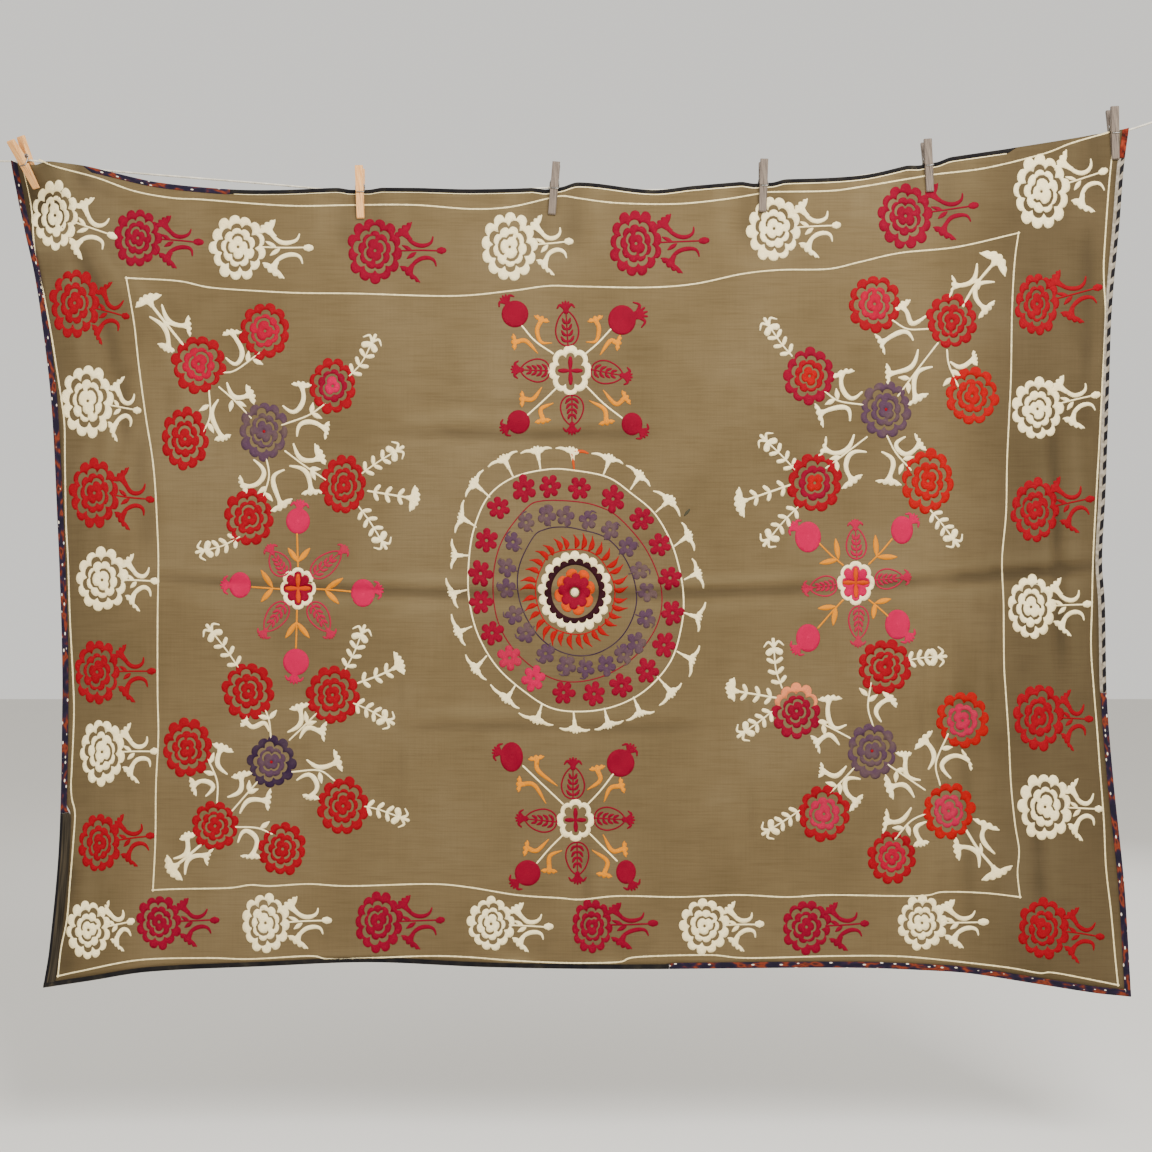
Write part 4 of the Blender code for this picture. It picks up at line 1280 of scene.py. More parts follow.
LINKS = (
    # The spray at the top left
    Link(
        ((221.7, 373), (236, 370), (260, 352.5)), ((248, 356.5), (258, 362)),
        (((226, 358), (236, 364), (242, 355), (238, 342), (232, 333), (223, 335), (241, 332)),),
    ),
    Link(
        ((219, 387), (236, 402), (251, 418)), ((231, 406), (241, 404)),
        (((227, 383), (234.5, 397), (250, 395), (246.5, 385), (254, 404)),),
    ),
    Link(
        ((209, 390), (210, 415.5), (203, 433)), ((204, 408), (211, 428)),
        (((218, 400), (212, 412), (215, 425), (222, 437), (215, 440), (230.5, 435)),),
    ),
    Link(
        ((282, 425), (308, 415.5), (325, 404)), ((312, 408), (317, 416)),
        (
            ((283, 406), (293.5, 412), (303, 401), (301.5, 386), (292, 384), (311, 385)),
            ((297, 436), (300, 425), (311, 422), (325, 429), (329, 422), (325, 439)),
        ),
    ),
    Link(
        ((285, 451), (305, 466), (326, 480)), ((315, 469), (313, 475)),
        (
            ((293.5, 444), (301.5, 459), (320, 459), (315, 444), (325, 464)),
            ((290, 466), (304, 470), (311, 490.5), (302, 494), (324, 492)),
        ),
    ),
    Link(
        ((266, 457), (269, 476), (263, 498)), ((262, 490), (269, 497)),
        (
            ((254, 460), (264, 473), (255, 485), (244, 486), (240, 476), (246.5, 493)),
            ((284, 470), (274, 476), (276, 492), (281, 505), (271, 511), (292, 499)),
        ),
    ),
    # The spray at the bottom left
    Link(
        ((271, 739.5), (269, 720.5), (263, 704)), ((273, 714.5), (263, 717)),
        (((269, 731), (264, 723), (253, 727), (246, 722), (241, 726), (247, 716)),),
    ),
    Link(
        ((289.5, 740), (304, 726), (318, 712)), ((306, 717), (311, 723)),
        (
            ((288, 732), (300, 724), (300, 708), (290, 709), (309, 704)),
            ((300, 738), (307, 728), (320.5, 732), (326.5, 722), (324, 741)),
        ),
    ),
    Link(
        ((217, 803), (217, 781), (207, 757)), ((212, 758), (209, 773)),
        (
            ((227, 774), (218, 765), (221, 748), (213, 744), (233, 752)),
            ((206, 796), (213, 786), (202, 781), (194, 785), (190, 778), (196, 795.5)),
        ),
    ),
    Link(
        ((232, 811), (245, 796), (259, 780)), ((249, 786), (253, 791)),
        (
            ((228, 797), (240, 791), (241, 776), (232, 777), (252, 773)),
            ((240, 813), (248, 801), (266, 801), (270.5, 789), (268, 810)),
        ),
    ),
    Link(
        ((291, 772), (319, 770.5), (335, 781)), ((320.5, 778),),
        (
            ((307, 760), (318, 767), (337, 762), (334, 750), (342, 771)),
            ((297, 780), (310, 775), (317, 788), (311, 796), (303, 795), (319, 799)),
        ),
    ),
    Link(
        ((235, 827), (257, 828), (272, 834)), ((265, 825),),
        (((238, 842), (245, 831), (256, 838), (252, 855), (241, 856), (260, 858)),),
    ),
    # The spray at the top right
    Link(
        ((892, 320), (907.5, 329), (928, 329)), (),
        (
            ((926, 316), (911, 323), (906.5, 311.5), (902, 307), (910, 300), (895, 310.5)),
            ((913, 340), (907.5, 332.5), (892, 336), (883, 342), (875, 334.5), (884.5, 354)),
        ),
    ),
    Link(
        ((938, 343), (921, 365), (898, 396)), ((904, 378), (908.5, 388)),
        (
            ((918, 350), (911, 367), (898, 372), (890, 374), (886.5, 364), (888, 385)),
            ((932, 367), (917, 373), (914, 388), (915, 398), (928, 394), (907.5, 405)),
        ),
    ),
    Link(
        ((947, 350), (949, 365), (958, 386)), ((956, 373), (947, 382)),
        (((950.5, 362), (959, 367), (973, 359), (973.5, 351), (977, 365)),),
    ),
    Link(
        ((864.5, 405), (839, 401), (824, 391)), ((837, 394), (830, 402)),
        (
            ((862, 392), (852, 398.5), (841.5, 386), (842, 374), (831, 377.5), (854, 371)),
            ((850, 420.5), (848, 409), (835, 408), (821, 413), (815, 404), (823, 427)),
        ),
    ),
    Link(
        ((867, 437), (846, 453), (826, 468)), ((835, 458), (837, 466.5)),
        (
            ((854, 435), (846, 450), (833, 453), (826, 450), (826, 437), (817, 458)),
            ((866, 452), (852, 453), (846, 466.5), (852, 480), (862, 475), (842, 488.5)),
        ),
    ),
    Link(
        ((887, 436), (896, 453), (911, 470)), ((908.5, 458), (901, 469)),
        (
            ((905, 437), (896, 445), (904, 454), (919, 445), (915, 434), (926, 450)),
            ((882, 452), (892, 459), (888, 480), (876, 481), (901, 485)),
        ),
    ),
    # The spray at the bottom right
    Link(
        ((873, 726), (868, 707), (871, 683)), ((863.5, 692), (873, 698)),
        (((881, 721.5), (876, 711), (884.5, 701), (890, 698.5), (883, 692), (896, 707)),),
    ),
    Link(
        ((815, 720), (831, 728), (850, 738)), ((823, 722), (824, 730)),
        (
            ((846, 725), (835, 728), (828, 715), (829, 699.5), (818.5, 699.5), (841.5, 698.5)),
            ((839, 744.5), (829, 735), (818, 742), (811, 736), (819.5, 753)),
        ),
    ),
    Link(
        ((855, 767), (842, 781), (828, 795)), ((831, 784), (840, 789)),
        (
            ((846, 766.5), (835, 776), (824, 771), (821, 763), (819, 777)),
            ((860, 779), (846, 780), (846, 791), (856, 801), (862.5, 795), (850, 811)),
        ),
    ),
    Link(
        ((887, 764), (906, 777), (925, 790)), ((902, 770), (896, 777)),
        (
            ((920, 780), (908.5, 777), (906, 756), (896, 753), (911, 753)),
            ((914, 797), (904, 785), (890, 787.5), (885.5, 775), (893, 799)),
        ),
    ),
    Link(
        ((940, 785), (936, 763), (948, 734)), ((947, 748),),
        (
            ((928.5, 769), (934, 757), (925, 740), (932, 731), (915, 749)),
            ((950.5, 778), (942, 764.5), (953, 756), (967, 759), (962, 750), (971, 770)),
        ),
    ),
    Link(
        ((928, 813), (911, 821), (895, 839)), ((898, 828), (908.5, 830.5)),
        (
            ((911, 808), (900, 821), (888, 822), (886.5, 809.5), (883, 833)),
            ((926, 822), (916, 828), (921, 842), (914, 846), (928.5, 842)),
        ),
    ),
)

TULIPS = (
    Tulip(
        ((184, 346), (168, 326), (153, 307), (147, 298)), (136, 307), (161, 295),
        (
            ((162, 305), (170, 322), (186.5, 326), (188.5, 316), (190, 336)),
            ((150, 317), (164.5, 328), (169, 347), (158, 344), (174, 351)),
        ),
    ),
    Tulip(
        ((203, 843), (185.5, 858), (174, 867), (170, 869.5)), (167, 855.5), (182, 880),
        (
            ((174, 858.5), (185.5, 854), (187, 836.5), (180, 839), (195, 835)),
            ((185, 874), (189, 859), (205, 855), (213, 849), (207.5, 865)),
        ),
    ),
    Tulip(
        ((963, 306), (974, 287), (990, 267.5), (999, 258)), (980, 253), (1005, 276),
        (
            ((977, 264), (972.5, 281), (956, 286), (952, 276), (949, 298)),
            ((994, 282), (976, 287), (976, 298), (985, 309), (994.5, 301), (979, 318)),
        ),
    ),
    Tulip(
        ((966, 830), (978, 849), (994, 868), (998, 874)), (1012, 866), (982, 880),
        (
            ((994.5, 853.5), (982, 835), (985, 826), (973.5, 819), (999, 830)),
            ((979, 867), (977, 852.5), (965, 847), (958, 847), (956, 838), (959, 860)),
        ),
    ),
)

SPRIGS = (
    Sprig(((349, 376.5), (362, 362), (371, 344))),
    Sprig(((361, 474), (378, 462), (394.5, 452))),
    Sprig(((368, 491), (392, 495), (416, 499)), ((415, 486), (410, 511))),
    Sprig(((359, 507), (370, 522), (381, 540))),
    Sprig(((239.5, 537), (222, 546), (206, 550))),
    Sprig(((239.5, 669), (227, 651), (213, 633))),
    Sprig(((345, 670), (354, 653), (361, 635))),
    Sprig(((358, 683), (380, 675), (401, 665)), ((394, 652), (404, 674))),
    Sprig(((353, 703), (369, 710), (385, 719))),
    Sprig(((363.5, 806), (380, 810), (399, 817))),
    Sprig(((792, 356), (780, 342), (770, 327))),
    Sprig(((796, 471), (782, 456), (768, 442.5))),
    Sprig(((790, 485), (764, 494), (738, 503)), ((739, 487.5), (744, 517))),
    Sprig(((799, 506), (784, 521), (770, 538))),
    Sprig(((930.5, 510.5), (942, 524), (952.5, 538))),
    Sprig(((906, 661), (921, 658), (936, 657))),
    Sprig(((782, 688), (776, 670), (774, 649))),
    Sprig(((777, 698), (753, 694), (729, 690)), ((734, 678), (734, 701))),
    Sprig(((774, 710), (760, 721), (746, 731))),
    Sprig(((801, 809.5), (787, 819), (771, 829))),
)


def crown(base: np.ndarray, way: np.ndarray, spread: float) -> list[Patch]:
    """Five points on a fruit: three short ones, and a long curled one at each side."""
    side = np.array([way[1], -way[0]])
    parts = [ribbon([base - way * 2, base + way * spread * 0.4], (spread * 0.6, spread * 0.8))]
    for share, reach in ((-0.36, 0.92), (0.0, 1.02), (0.36, 0.92)):
        tip = base + (way * reach + side * share) * spread
        parts.append(ribbon([base, tip], (3.6, 3.4, 2.0)))
    for sign in (-1, 1):
        bend = base + (way * 0.62 + side * sign * 0.66) * spread
        tip = base + (way * 0.18 + side * sign * 1.08) * spread
        parts.append(ribbon([base, bend, tip], (3.4, 3.4, 1.2)))
    return parts


def pomegranate(
    x: float, y: float, wide: float, tall: float, crown_x: float, crown_y: float, spread: float = 8.6
) -> Patch:
    """A round fruit with its crown: half its size each way, and where its crown is."""
    heart = np.array([x, y], float)
    way, _side = heading(heart, (crown_x, crown_y))
    rim = wide * tall / math.hypot(way[0] * tall, way[1] * wide)
    return merged([Patch([disc(x, y, wide, tall, 22)])] + crown(heart + way * (rim - 0.5), way, spread))


def almond(base: Point, apex: Point, width: float, sprays: int = 4) -> Patch:
    """A drawn almond leaf: its thin outline, a sprig inside it and a crown at its apex."""
    start, end = np.array(base, float), np.array(apex, float)
    length = float(np.linalg.norm(end - start))
    way, side = heading(start, end)

    def spot(along: float, across: float) -> Point:
        """A place by its share of the length and of the width."""
        return start + way * length * along + side * width * across

    reach = 0.84
    shape = ((0.0, 0.0), (0.04, 0.24), (0.16, 0.43), (0.36, 0.5), (0.58, 0.4), (0.74, 0.22), (reach, 0.0))
    parts = [
        ribbon([spot(along, across * sign) for along, across in shape], (1.5, 1.5, 1.5))
        for sign in (-1, 1)
    ]
    parts.append(ribbon([spot(0.0, 0.0), spot(reach, 0.0)], (1.5, 1.4, 1.2)))
    for step in range(sprays):
        along = 0.1 + 0.56 * step / sprays
        out = 0.27 * (1 - 0.13 * step)
        for sign in (-1, 1):
            route = [spot(along, 0), spot(along + 0.03, out * 0.6 * sign), spot(along + 0.12, out * sign)]
            parts.append(ribbon(route, (1.4, 3.0, 3.0, 1.6), 1.8))
    return merged(parts + crown(start + way * length * reach, way, width * 0.36))


@dataclass(frozen=True)
class Cross:
    """A star about a ring: stems that end in fruit, leaves between them and small curved fans.

    Fruits are as a pomegranate takes them. A fan is its head, its middle and its tip. Stems lead
    from the ring to each fruit, and a pair of leaves is its joint and the middles of both leaves.
    """

    x: float
    y: float
    ring_wide: float
    ring_tall: float
    stems: tuple[Path, ...]
    fruits: tuple[tuple[float, ...], ...]
    almonds: tuple[tuple[Point, Point], ...]
    fans: tuple[Path, ...] = ()
    leaf_pairs: tuple[Path, ...] = ()
    ring: Yarn = Yarn.CREAM
    stem: Yarn = Yarn.CREAM
    fruit: Yarn = Yarn.CRIMSON
    drawn: Yarn = Yarn.CRIMSON
    fan: Yarn = Yarn.GOLD
    heart: Optional[Yarn] = None

    def layers(self) -> list[tuple[Yarn, Patch]]:
        """Its stitched layers."""
        made = self.ring_layers()
        for route in self.stems:
            made.append((self.stem, ribbon(route, (1.7, 1.7, 1.7))))
        for fruit in self.fruits:
            made.append((self.fruit, pomegranate(*fruit)))
        for base, apex in self.almonds:
            made.append((self.drawn, almond(base, apex, 23.0 if self.heart is None else 20.0)))
        for head, *middle, tip in self.fans:
            made.append((self.fan, self.curved_fan(head, middle, tip)))
        for joint, *middles in self.leaf_pairs:
            base = np.array(joint, float)
            for middle in middles:
                tip = base + (np.array(middle) - base) * 2
                made.append((self.stem, ribbon([base, tip], (0.8, 4.6, 5.6, 4.4, 0.8), 1.9)))
        return made

    def ring_layers(self) -> list[tuple[Yarn, Patch]]:
        """The ring, and the small flower inside it."""
        rx, ry = self.ring_wide, self.ring_tall
        outer = Lobes(self.x, self.y, rx, ry, 8, 0.17, 22.5, 0.2, int(self.x))
        inner = Lobes(self.x, self.y, rx * 0.72, ry * 0.74, 8, 0.3, 22.5, 0.2, int(self.x) + 1)
        made = [(self.ring, Patch([outer.outline(8)], [inner.outline(7)]))]
        reach, width = (0.5, 4.8) if self.heart is None else (0.62, 5.0)
        petals = [
            ribbon(
                [(self.x, self.y), (self.x + across * rx * reach, self.y + up * ry * reach)],
                (1.8, width * 0.8, width, width * 0.7),
            )
            for across, up in ((1, 0), (-1, 0), (0.04, 1), (0, -1))
        ]
        if self.heart is None:
            return made + [(self.drawn, merged(petals))]
        flower = Lobes(self.x, self.y, rx * 0.78, ry * 0.8, 8, 0.3, 22.5, 0.2, int(self.x) + 1)
        cuts = [outline for petal in petals for outline in petal.fills]
        made[0] = (self.ring, Patch([outer.outline(8)], [flower.outline(6)]))
        made.append((self.heart, Patch([flower.outline(6)], cuts)))
        return made + [(Yarn.ORANGE, merged(petals))]

    def curved_fan(self, head: Point, middle: Sequence[Point], tip: Point) -> Patch:
        """A small curved fan from its pointed tip to its three-pointed head."""
        top = np.array(head, float)
        way, side = heading(middle[0], top)
        parts = [ribbon([tip, *middle[::-1], top - way * 3.0], (0.8, 3.4, 4.4, 4.2))]
        ends = [top + side * sign * 7.6 - way * 0.8 for sign in (-1, 1)]
        return merged(parts + [flared(top - way * 7.0, top + way * 1.2, ends, 3.8, 3)])


CROSSES = (
    Cross(
        570.3, 370.7, 21.5, 25.5,
        (
            ((553, 353.5), (535, 341), (522, 326)), ((584.5, 354.6), (598, 343), (611, 329)),
            ((557.5, 387), (543, 401), (527, 415.5)), ((585.6, 385.6), (603, 403), (622, 418)),
        ),
        (
            (515, 314, 13.5, 13.5, 504, 298), (622, 320, 14, 15, 637, 315, 12.5),
            (518.5, 422, 11.5, 12, 506, 428), (632, 424, 10.5, 11.5, 644, 433),
        ),
        (
            ((568, 346), (565.5, 303)), ((591, 369.5), (630, 377)),
            ((572, 395), (572, 432)), ((550, 371), (514, 369.5)),
        ),
        (
            ((542, 318), (537, 330.5), (541, 342), (552, 343)),
            ((513, 342), (526, 341), (538, 353.5)),
            ((595, 318), (599, 329), (596, 341), (586, 342)),
            ((619.5, 343), (610, 341), (600, 355)),
            ((521, 399), (533, 399), (542, 387)),
            ((543, 422), (541, 409), (553.5, 403)),
            ((627, 397), (615.5, 404), (603, 390)),
            ((607, 423.5), (604, 409), (589, 400.5)),
        ),
    ),
    Cross(
        575.5, 820, 18.5, 21,
        (
            ((563, 804), (543, 785), (523, 766)), ((587, 805), (601, 790), (614, 773)),
            ((564, 834), (550, 848), (537, 863)), ((590, 834), (604, 848), (617, 861)),
        ),
        (
            (511.6, 757, 11.5, 15, 496, 751), (620.6, 763, 14, 14, 630, 750),
            (527.6, 873, 13, 13, 514, 884), (626, 872, 10, 12, 633, 886),
        ),
        (
            ((573, 799), (573, 760)), ((594, 818), (632, 820)),
            ((577, 842), (577.6, 882)), ((557, 822), (518, 818)),
        ),
        (
            ((536, 757), (538.5, 771), (557.5, 786)), ((518, 784), (534, 785), (546, 803.5)),
            ((597, 767), (600, 780.5), (587, 790)), ((623, 785), (610, 788.5), (604, 802)),
            ((525, 848), (537, 850.5), (549, 839)), ((549, 872), (550, 856), (562, 850.5)),
            ((626, 849), (612, 850.5), (603, 834.5)), ((604, 876), (607, 861), (592, 850)),
        ),
    ),
    Cross(
        298, 588.4, 18, 21,
        (
            ((298, 567), (297.5, 550), (297, 533)), ((316, 589), (333, 590), (351, 591.5)),
            ((297, 610), (296.5, 630), (296, 648)), ((280, 589), (266, 588), (252, 587)),
        ),
        (
            (298, 521, 12, 13, 300, 504), (363, 593, 12, 14, 377, 590),
            (296, 662, 13, 13.4, 294, 680), (240, 585, 11, 13, 226, 585),
        ),
        (
            ((312, 576), (347, 547)), ((311, 603), (332, 637)),
            ((286, 603), (261, 637)), ((286, 575), (269, 547)),
        ),
        (),
        (
            ((298, 562), (293, 555), (304, 555)), ((325, 590), (334, 584), (332, 597)),
            ((296.5, 622), (291, 630), (303, 630)), ((273, 588), (267, 579), (267, 595)),
        ),
        stem=Yarn.GOLD, fruit=Yarn.PINK, drawn=Yarn.CORAL, heart=Yarn.CRIMSON,
    ),
    Cross(
        855.7, 582.7, 18.5, 22,
        (
            ((843, 565), (831, 555), (819, 543)), ((869, 564), (881, 552), (892, 539)),
            ((843, 600), (831, 613), (818, 628)), ((869, 600), (879, 608), (889, 617)),
        ),
        (
            (808, 537, 13, 15.5, 796, 528), (902, 530, 11, 14, 914.5, 518),
            (897.5, 624.5, 12.5, 15, 908, 636), (808, 638, 12, 14, 794.5, 651),
        ),
        (
            ((857, 559), (855, 521)), ((875, 580), (909, 577)),
            ((859, 606), (858, 646)), ((837, 584.5), (804, 589)),
        ),
        (),
        (
            ((838.5, 559.5), (837, 549), (829, 561.5)), ((876.7, 557), (876, 546), (887, 557)),
            ((836, 606.5), (827, 607.5), (834.5, 616)), ((875, 603), (883, 601), (874, 611)),
        ),
        stem=Yarn.GOLD, fruit=Yarn.PINK, drawn=Yarn.CORAL, heart=Yarn.PINK,
    ),
)


@dataclass(frozen=True)
class Medallion:
    """The round middle of the cloth, ring by ring. Places are in pixels, turns in degrees."""

    x: float = 574.6
    y: float = 591.5
    seed: int = 23
    flames: int = 33

    # Rings and fans are read off a close-up whose corner and scale these are.
    CORNER = 440.0
    SCALE = 0.3
    RINGS = (
        (Yarn.CREAM, 1.5, (
            (450, 102), (560, 125), (640, 180), (715, 245), (770, 340), (800, 440), (812, 530), (805, 620),
            (770, 735), (690, 830), (590, 885), (480, 905), (370, 893), (270, 830), (185, 750), (125, 645),
            (97, 530), (95, 420), (112, 300), (160, 190), (245, 125), (360, 98),
        )),
        (Yarn.CRIMSON, 1.1, (
            (340, 203), (450, 205), (530, 222), (600, 262), (690, 370), (738, 500), (722, 620), (640, 730),
            (520, 795), (390, 800), (270, 725), (195, 610), (177, 470), (205, 340), (285, 230),
        )),
        (Yarn.PURPLE, 1.1, (
            (350, 298), (400, 290), (460, 297), (560, 330), (630, 420), (655, 540), (610, 650), (520, 712),
            (420, 712), (330, 655), (268, 545), (262, 430), (310, 325),
        )),
        (Yarn.BRIGHT, 1.1, (
            (385, 375), (440, 365), (500, 372), (545, 410), (583, 500), (555, 605), (460, 648), (355, 610),
            (318, 500), (350, 400),
        )),
    )
    # Each fan's foot, the middle of its head, and its two curled ends.
    FANS = (
        ((447, 98), (440, 40), (385, 28), (495, 45)), ((545, 115), (565, 65), (505, 45), (610, 80)),
        ((635, 165), (665, 120), (620, 85), (700, 155)), ((720, 240), (765, 200), (710, 170), (800, 255)),
        ((780, 355), (825, 320), (805, 275), (848, 370)), ((815, 465), (855, 445), (840, 395), (878, 495)),
        ((810, 575), (855, 590), (885, 540), (860, 640)), ((790, 705), (835, 730), (865, 685), (830, 790)),
        ((725, 790), (770, 840), (805, 810), (730, 885)), ((645, 858), (665, 905), (715, 905), (620, 935)),
        ((548, 895), (560, 945), (612, 935), (515, 965)), ((445, 905), (450, 960), (500, 965), (398, 960)),
        ((340, 880), (325, 930), (378, 950), (262, 910)), ((250, 820), (225, 860), (265, 895), (168, 815)),
        ((155, 720), (120, 760), (155, 800), (85, 715)), ((105, 622), (65, 640), (85, 685), (38, 580)),
        ((90, 500), (45, 510), (60, 560), (20, 460)), ((97, 385), (55, 385), (38, 430), (40, 330)),
        ((120, 290), (75, 260), (50, 310), (80, 200)), ((165, 190), (115, 145), (85, 190), (145, 100)),
        ((245, 125), (215, 65), (160, 90), (258, 38)), ((335, 98), (325, 38), (268, 45), (372, 28)),
    )
    FLOWERS = (
        (524, 489), (550, 486.5), (579.5, 488), (613, 499), (641.6, 519), (660, 545), (670, 578),
        (672.5, 613), (664, 645), (647, 671), (621.5, 686), (594, 694), (563.6, 692.6), (533.6, 678.5),
        (509.6, 658), (492, 633), (481, 602), (480.5, 573.5), (486.5, 540.5), (499, 508),
    )
    PANSIES = (
        (526, 522.5), (546.5, 515.6), (565, 516.5), (588, 520), (610, 530), (627.5, 547), (639.5, 570.5),
        (647, 592), (646, 618.5), (636.5, 642.5), (623.6, 654.5), (606.5, 665.6), (585.5, 668.6),
        (566.6, 666), (545.6, 653.6), (526, 633.5), (514, 615), (506.6, 589), (506.6, 567.5), (513, 542),
    )

    def close_up(self, places: Path) -> np.ndarray:
        """Places of the close-up as pixels of the view."""
        return self.CORNER + self.SCALE * np.array(places, float)

    def layers(self) -> list[tuple[Yarn, Patch]]:
        """All its stitched layers, from the outer fans inwards."""
        rng = random.Random(self.seed)
        made = []
        for yarn, width, places in self.RINGS:
            made.append((yarn, self.ring(self.close_up(places), width)))
        for index, fan in enumerate(self.FANS):
            made += self.fan(self.close_up(fan), index == 0)
        for index, spot in enumerate(self.FLOWERS):
            yarn = {13: Yarn.PINK, 14: Yarn.CORAL}.get(index, Yarn.CRIMSON)
            made.append((yarn, self.flower(np.array(spot), 12.2, 6, 0.55, rng)))
        for spot in self.PANSIES:
            made.append((Yarn.FADED, self.pansy(np.array(spot), rng)))
        for index in range(self.flames):
            turn = index * 360 / self.flames + rng.uniform(-1.6, 1.6)
            made.append((Yarn.BRIGHT, self.flame(turn, rng)))
        return made + self.middle()

    def ring(self, places: np.ndarray, width: float) -> Patch:
        """A thin ring through some places, which are clockwise round it."""
        path = smooth_path(places, 1.9, True)
        way = np.roll(path, -1, axis=0) - np.roll(path, 1, axis=0)
        way /= np.linalg.norm(way, axis=1, keepdims=True)
        side = np.column_stack([way[:, 1], -way[:, 0]]) * width / 2
        return Patch([path + side], [path - side])

    def fan(self, places: np.ndarray, orange: bool) -> list[tuple[Yarn, Patch]]:
        """One fan on the outer ring, with its two long curled ends."""
        foot, head, *ends = places
        out, _side = heading(foot, head)
        neck = foot + (head - foot) * 0.5
        stem = ribbon([foot, head], (1.6, 2.4, 3.4), 3.0)
        curls, corners = [], []
        for end in ends:
            corners.append(head + (end - head) * 0.44 + out * 1.0)
            bend = head + (end - head) * 0.62 + out * 1.6
            curls.append(ribbon([head, bend, end], (3.4, 3.4, 3.0, 1.2)))
        fan = flared(neck, head + out * 5.0, corners, 3.4, 4)
        if orange:
            return [(Yarn.CREAM, merged([fan, curls[0]])), (Yarn.ORANGE, merged([stem, curls[1]]))]
        return [(Yarn.CREAM, merged([stem, fan] + curls))]

    def flower(
        self, spot: np.ndarray, reach: float, petals: int, depth: float, rng: random.Random
    ) -> Patch:
        """A small flower with round petals and an open middle."""
        size = reach * rng.uniform(0.94, 1.05)
        shape = Lobes(
            float(spot[0]), float(spot[1]), size, size * rng.uniform(1.0, 1.14), petals, depth,
            rng.uniform(0, 60), 0.12, rng.randrange(999),
        )
        return Patch([shape.outline(8)], [disc(float(spot[0]), float(spot[1]), 1.7, 1.7, 8)])

    def pansy(self, spot: np.ndarray, rng: random.Random) -> Patch:
        """A faded five-petalled flower on a short stalk, with a curled tail."""
        out, side = heading((self.x, self.y), spot)
        parts = [self.flower(spot, 9.8, 5, 0.56, rng)]
        parts.append(ribbon([spot - out * 6, spot - out * 11.5], (1.4, 1.3)))
        curl = [spot + out * 6, spot + out * 9.6 - side * 2.4, spot + out * 8.6 - side * 7.0]
        parts.append(ribbon(curl, (2.4, 2.0, 0.8)))
        return merged(parts)

    def flame(self, turn: float, rng: random.Random) -> Patch:
        """One comma-shaped flame that curls anticlockwise from its fat foot."""
        angle = math.radians(turn)
        out = np.array([math.sin(angle), -math.cos(angle)])
        foot = np.array([self.x, self.y]) + out * (40.2, 44.0)
        side = np.array([out[1], -out[0]]) * rng.uniform(0.75, 1.15)
        size = rng.uniform(0.78, 0.95)
        bends = (out * 5 - side * 1.6, out * 11, out * 16 + side * 3)
        return ribbon([foot] + [foot + bend * size for bend in bends], (2.2, 5.6, 4.8, 1.8, 0.5), 1.8)

    def middle(self) -> list[tuple[Yarn, Patch]]:
        """The scalloped rings and the flower at the heart."""
        x, y = 575.0, 591.5
        cream = Lobes(x, y, 36.6, 40.6, 21, 0.13, 4.0, 0.25, 5)
        dark = Lobes(x, y, 30.6, 33.0, 21, 0.12, 14.0, 0.2, 6)
        inner = Lobes(x, y, 23.8, 26.6, 8, 0.0)
        orange = Lobes(x, y, 20.6, 23.4, 8, 0.28, 10.0, 0.12, 8)
        red = Lobes(x - 0.3, y, 16.2, 18.4, 8, 0.32, 28.0, 0.12, 9)
        rim = disc(x - 0.3, y + 0.9, 5.2, 5.4, 16)
        return [
            (Yarn.CREAM, Patch([cream.outline(6)], [dark.outline(6)])),
            (Yarn.MAROON, Patch([dark.outline(6)], [inner.outline(6)])),
            (Yarn.ORANGE, Patch([orange.outline(7)], [red.outline(7)])),
            (Yarn.CRIMSON, Patch([red.outline(7)], [rim])),
            (Yarn.CREAM, Patch([disc(x - 0.3, y + 0.9, 4.1, 4.3, 14)])),
        ]


def within(spots: np.ndarray, outline: np.ndarray) -> np.ndarray:
    """Whether each spot is inside a closed outline, counting how often it winds round it."""
    after = np.roll(outline, -1, axis=0)
    turns = np.zeros(len(spots), int)
    for (x0, y0), (x1, y1) in zip(outline, after):
        cross = (x1 - x0) * (spots[:, 1] - y0) - (spots[:, 0] - x0) * (y1 - y0)
        up = (y0 <= spots[:, 1]) & (y1 > spots[:, 1]) & (cross > 0)
        down = (y0 > spots[:, 1]) & (y1 <= spots[:, 1]) & (cross < 0)
        turns += up.astype(int) - down.astype(int)
    return turns != 0


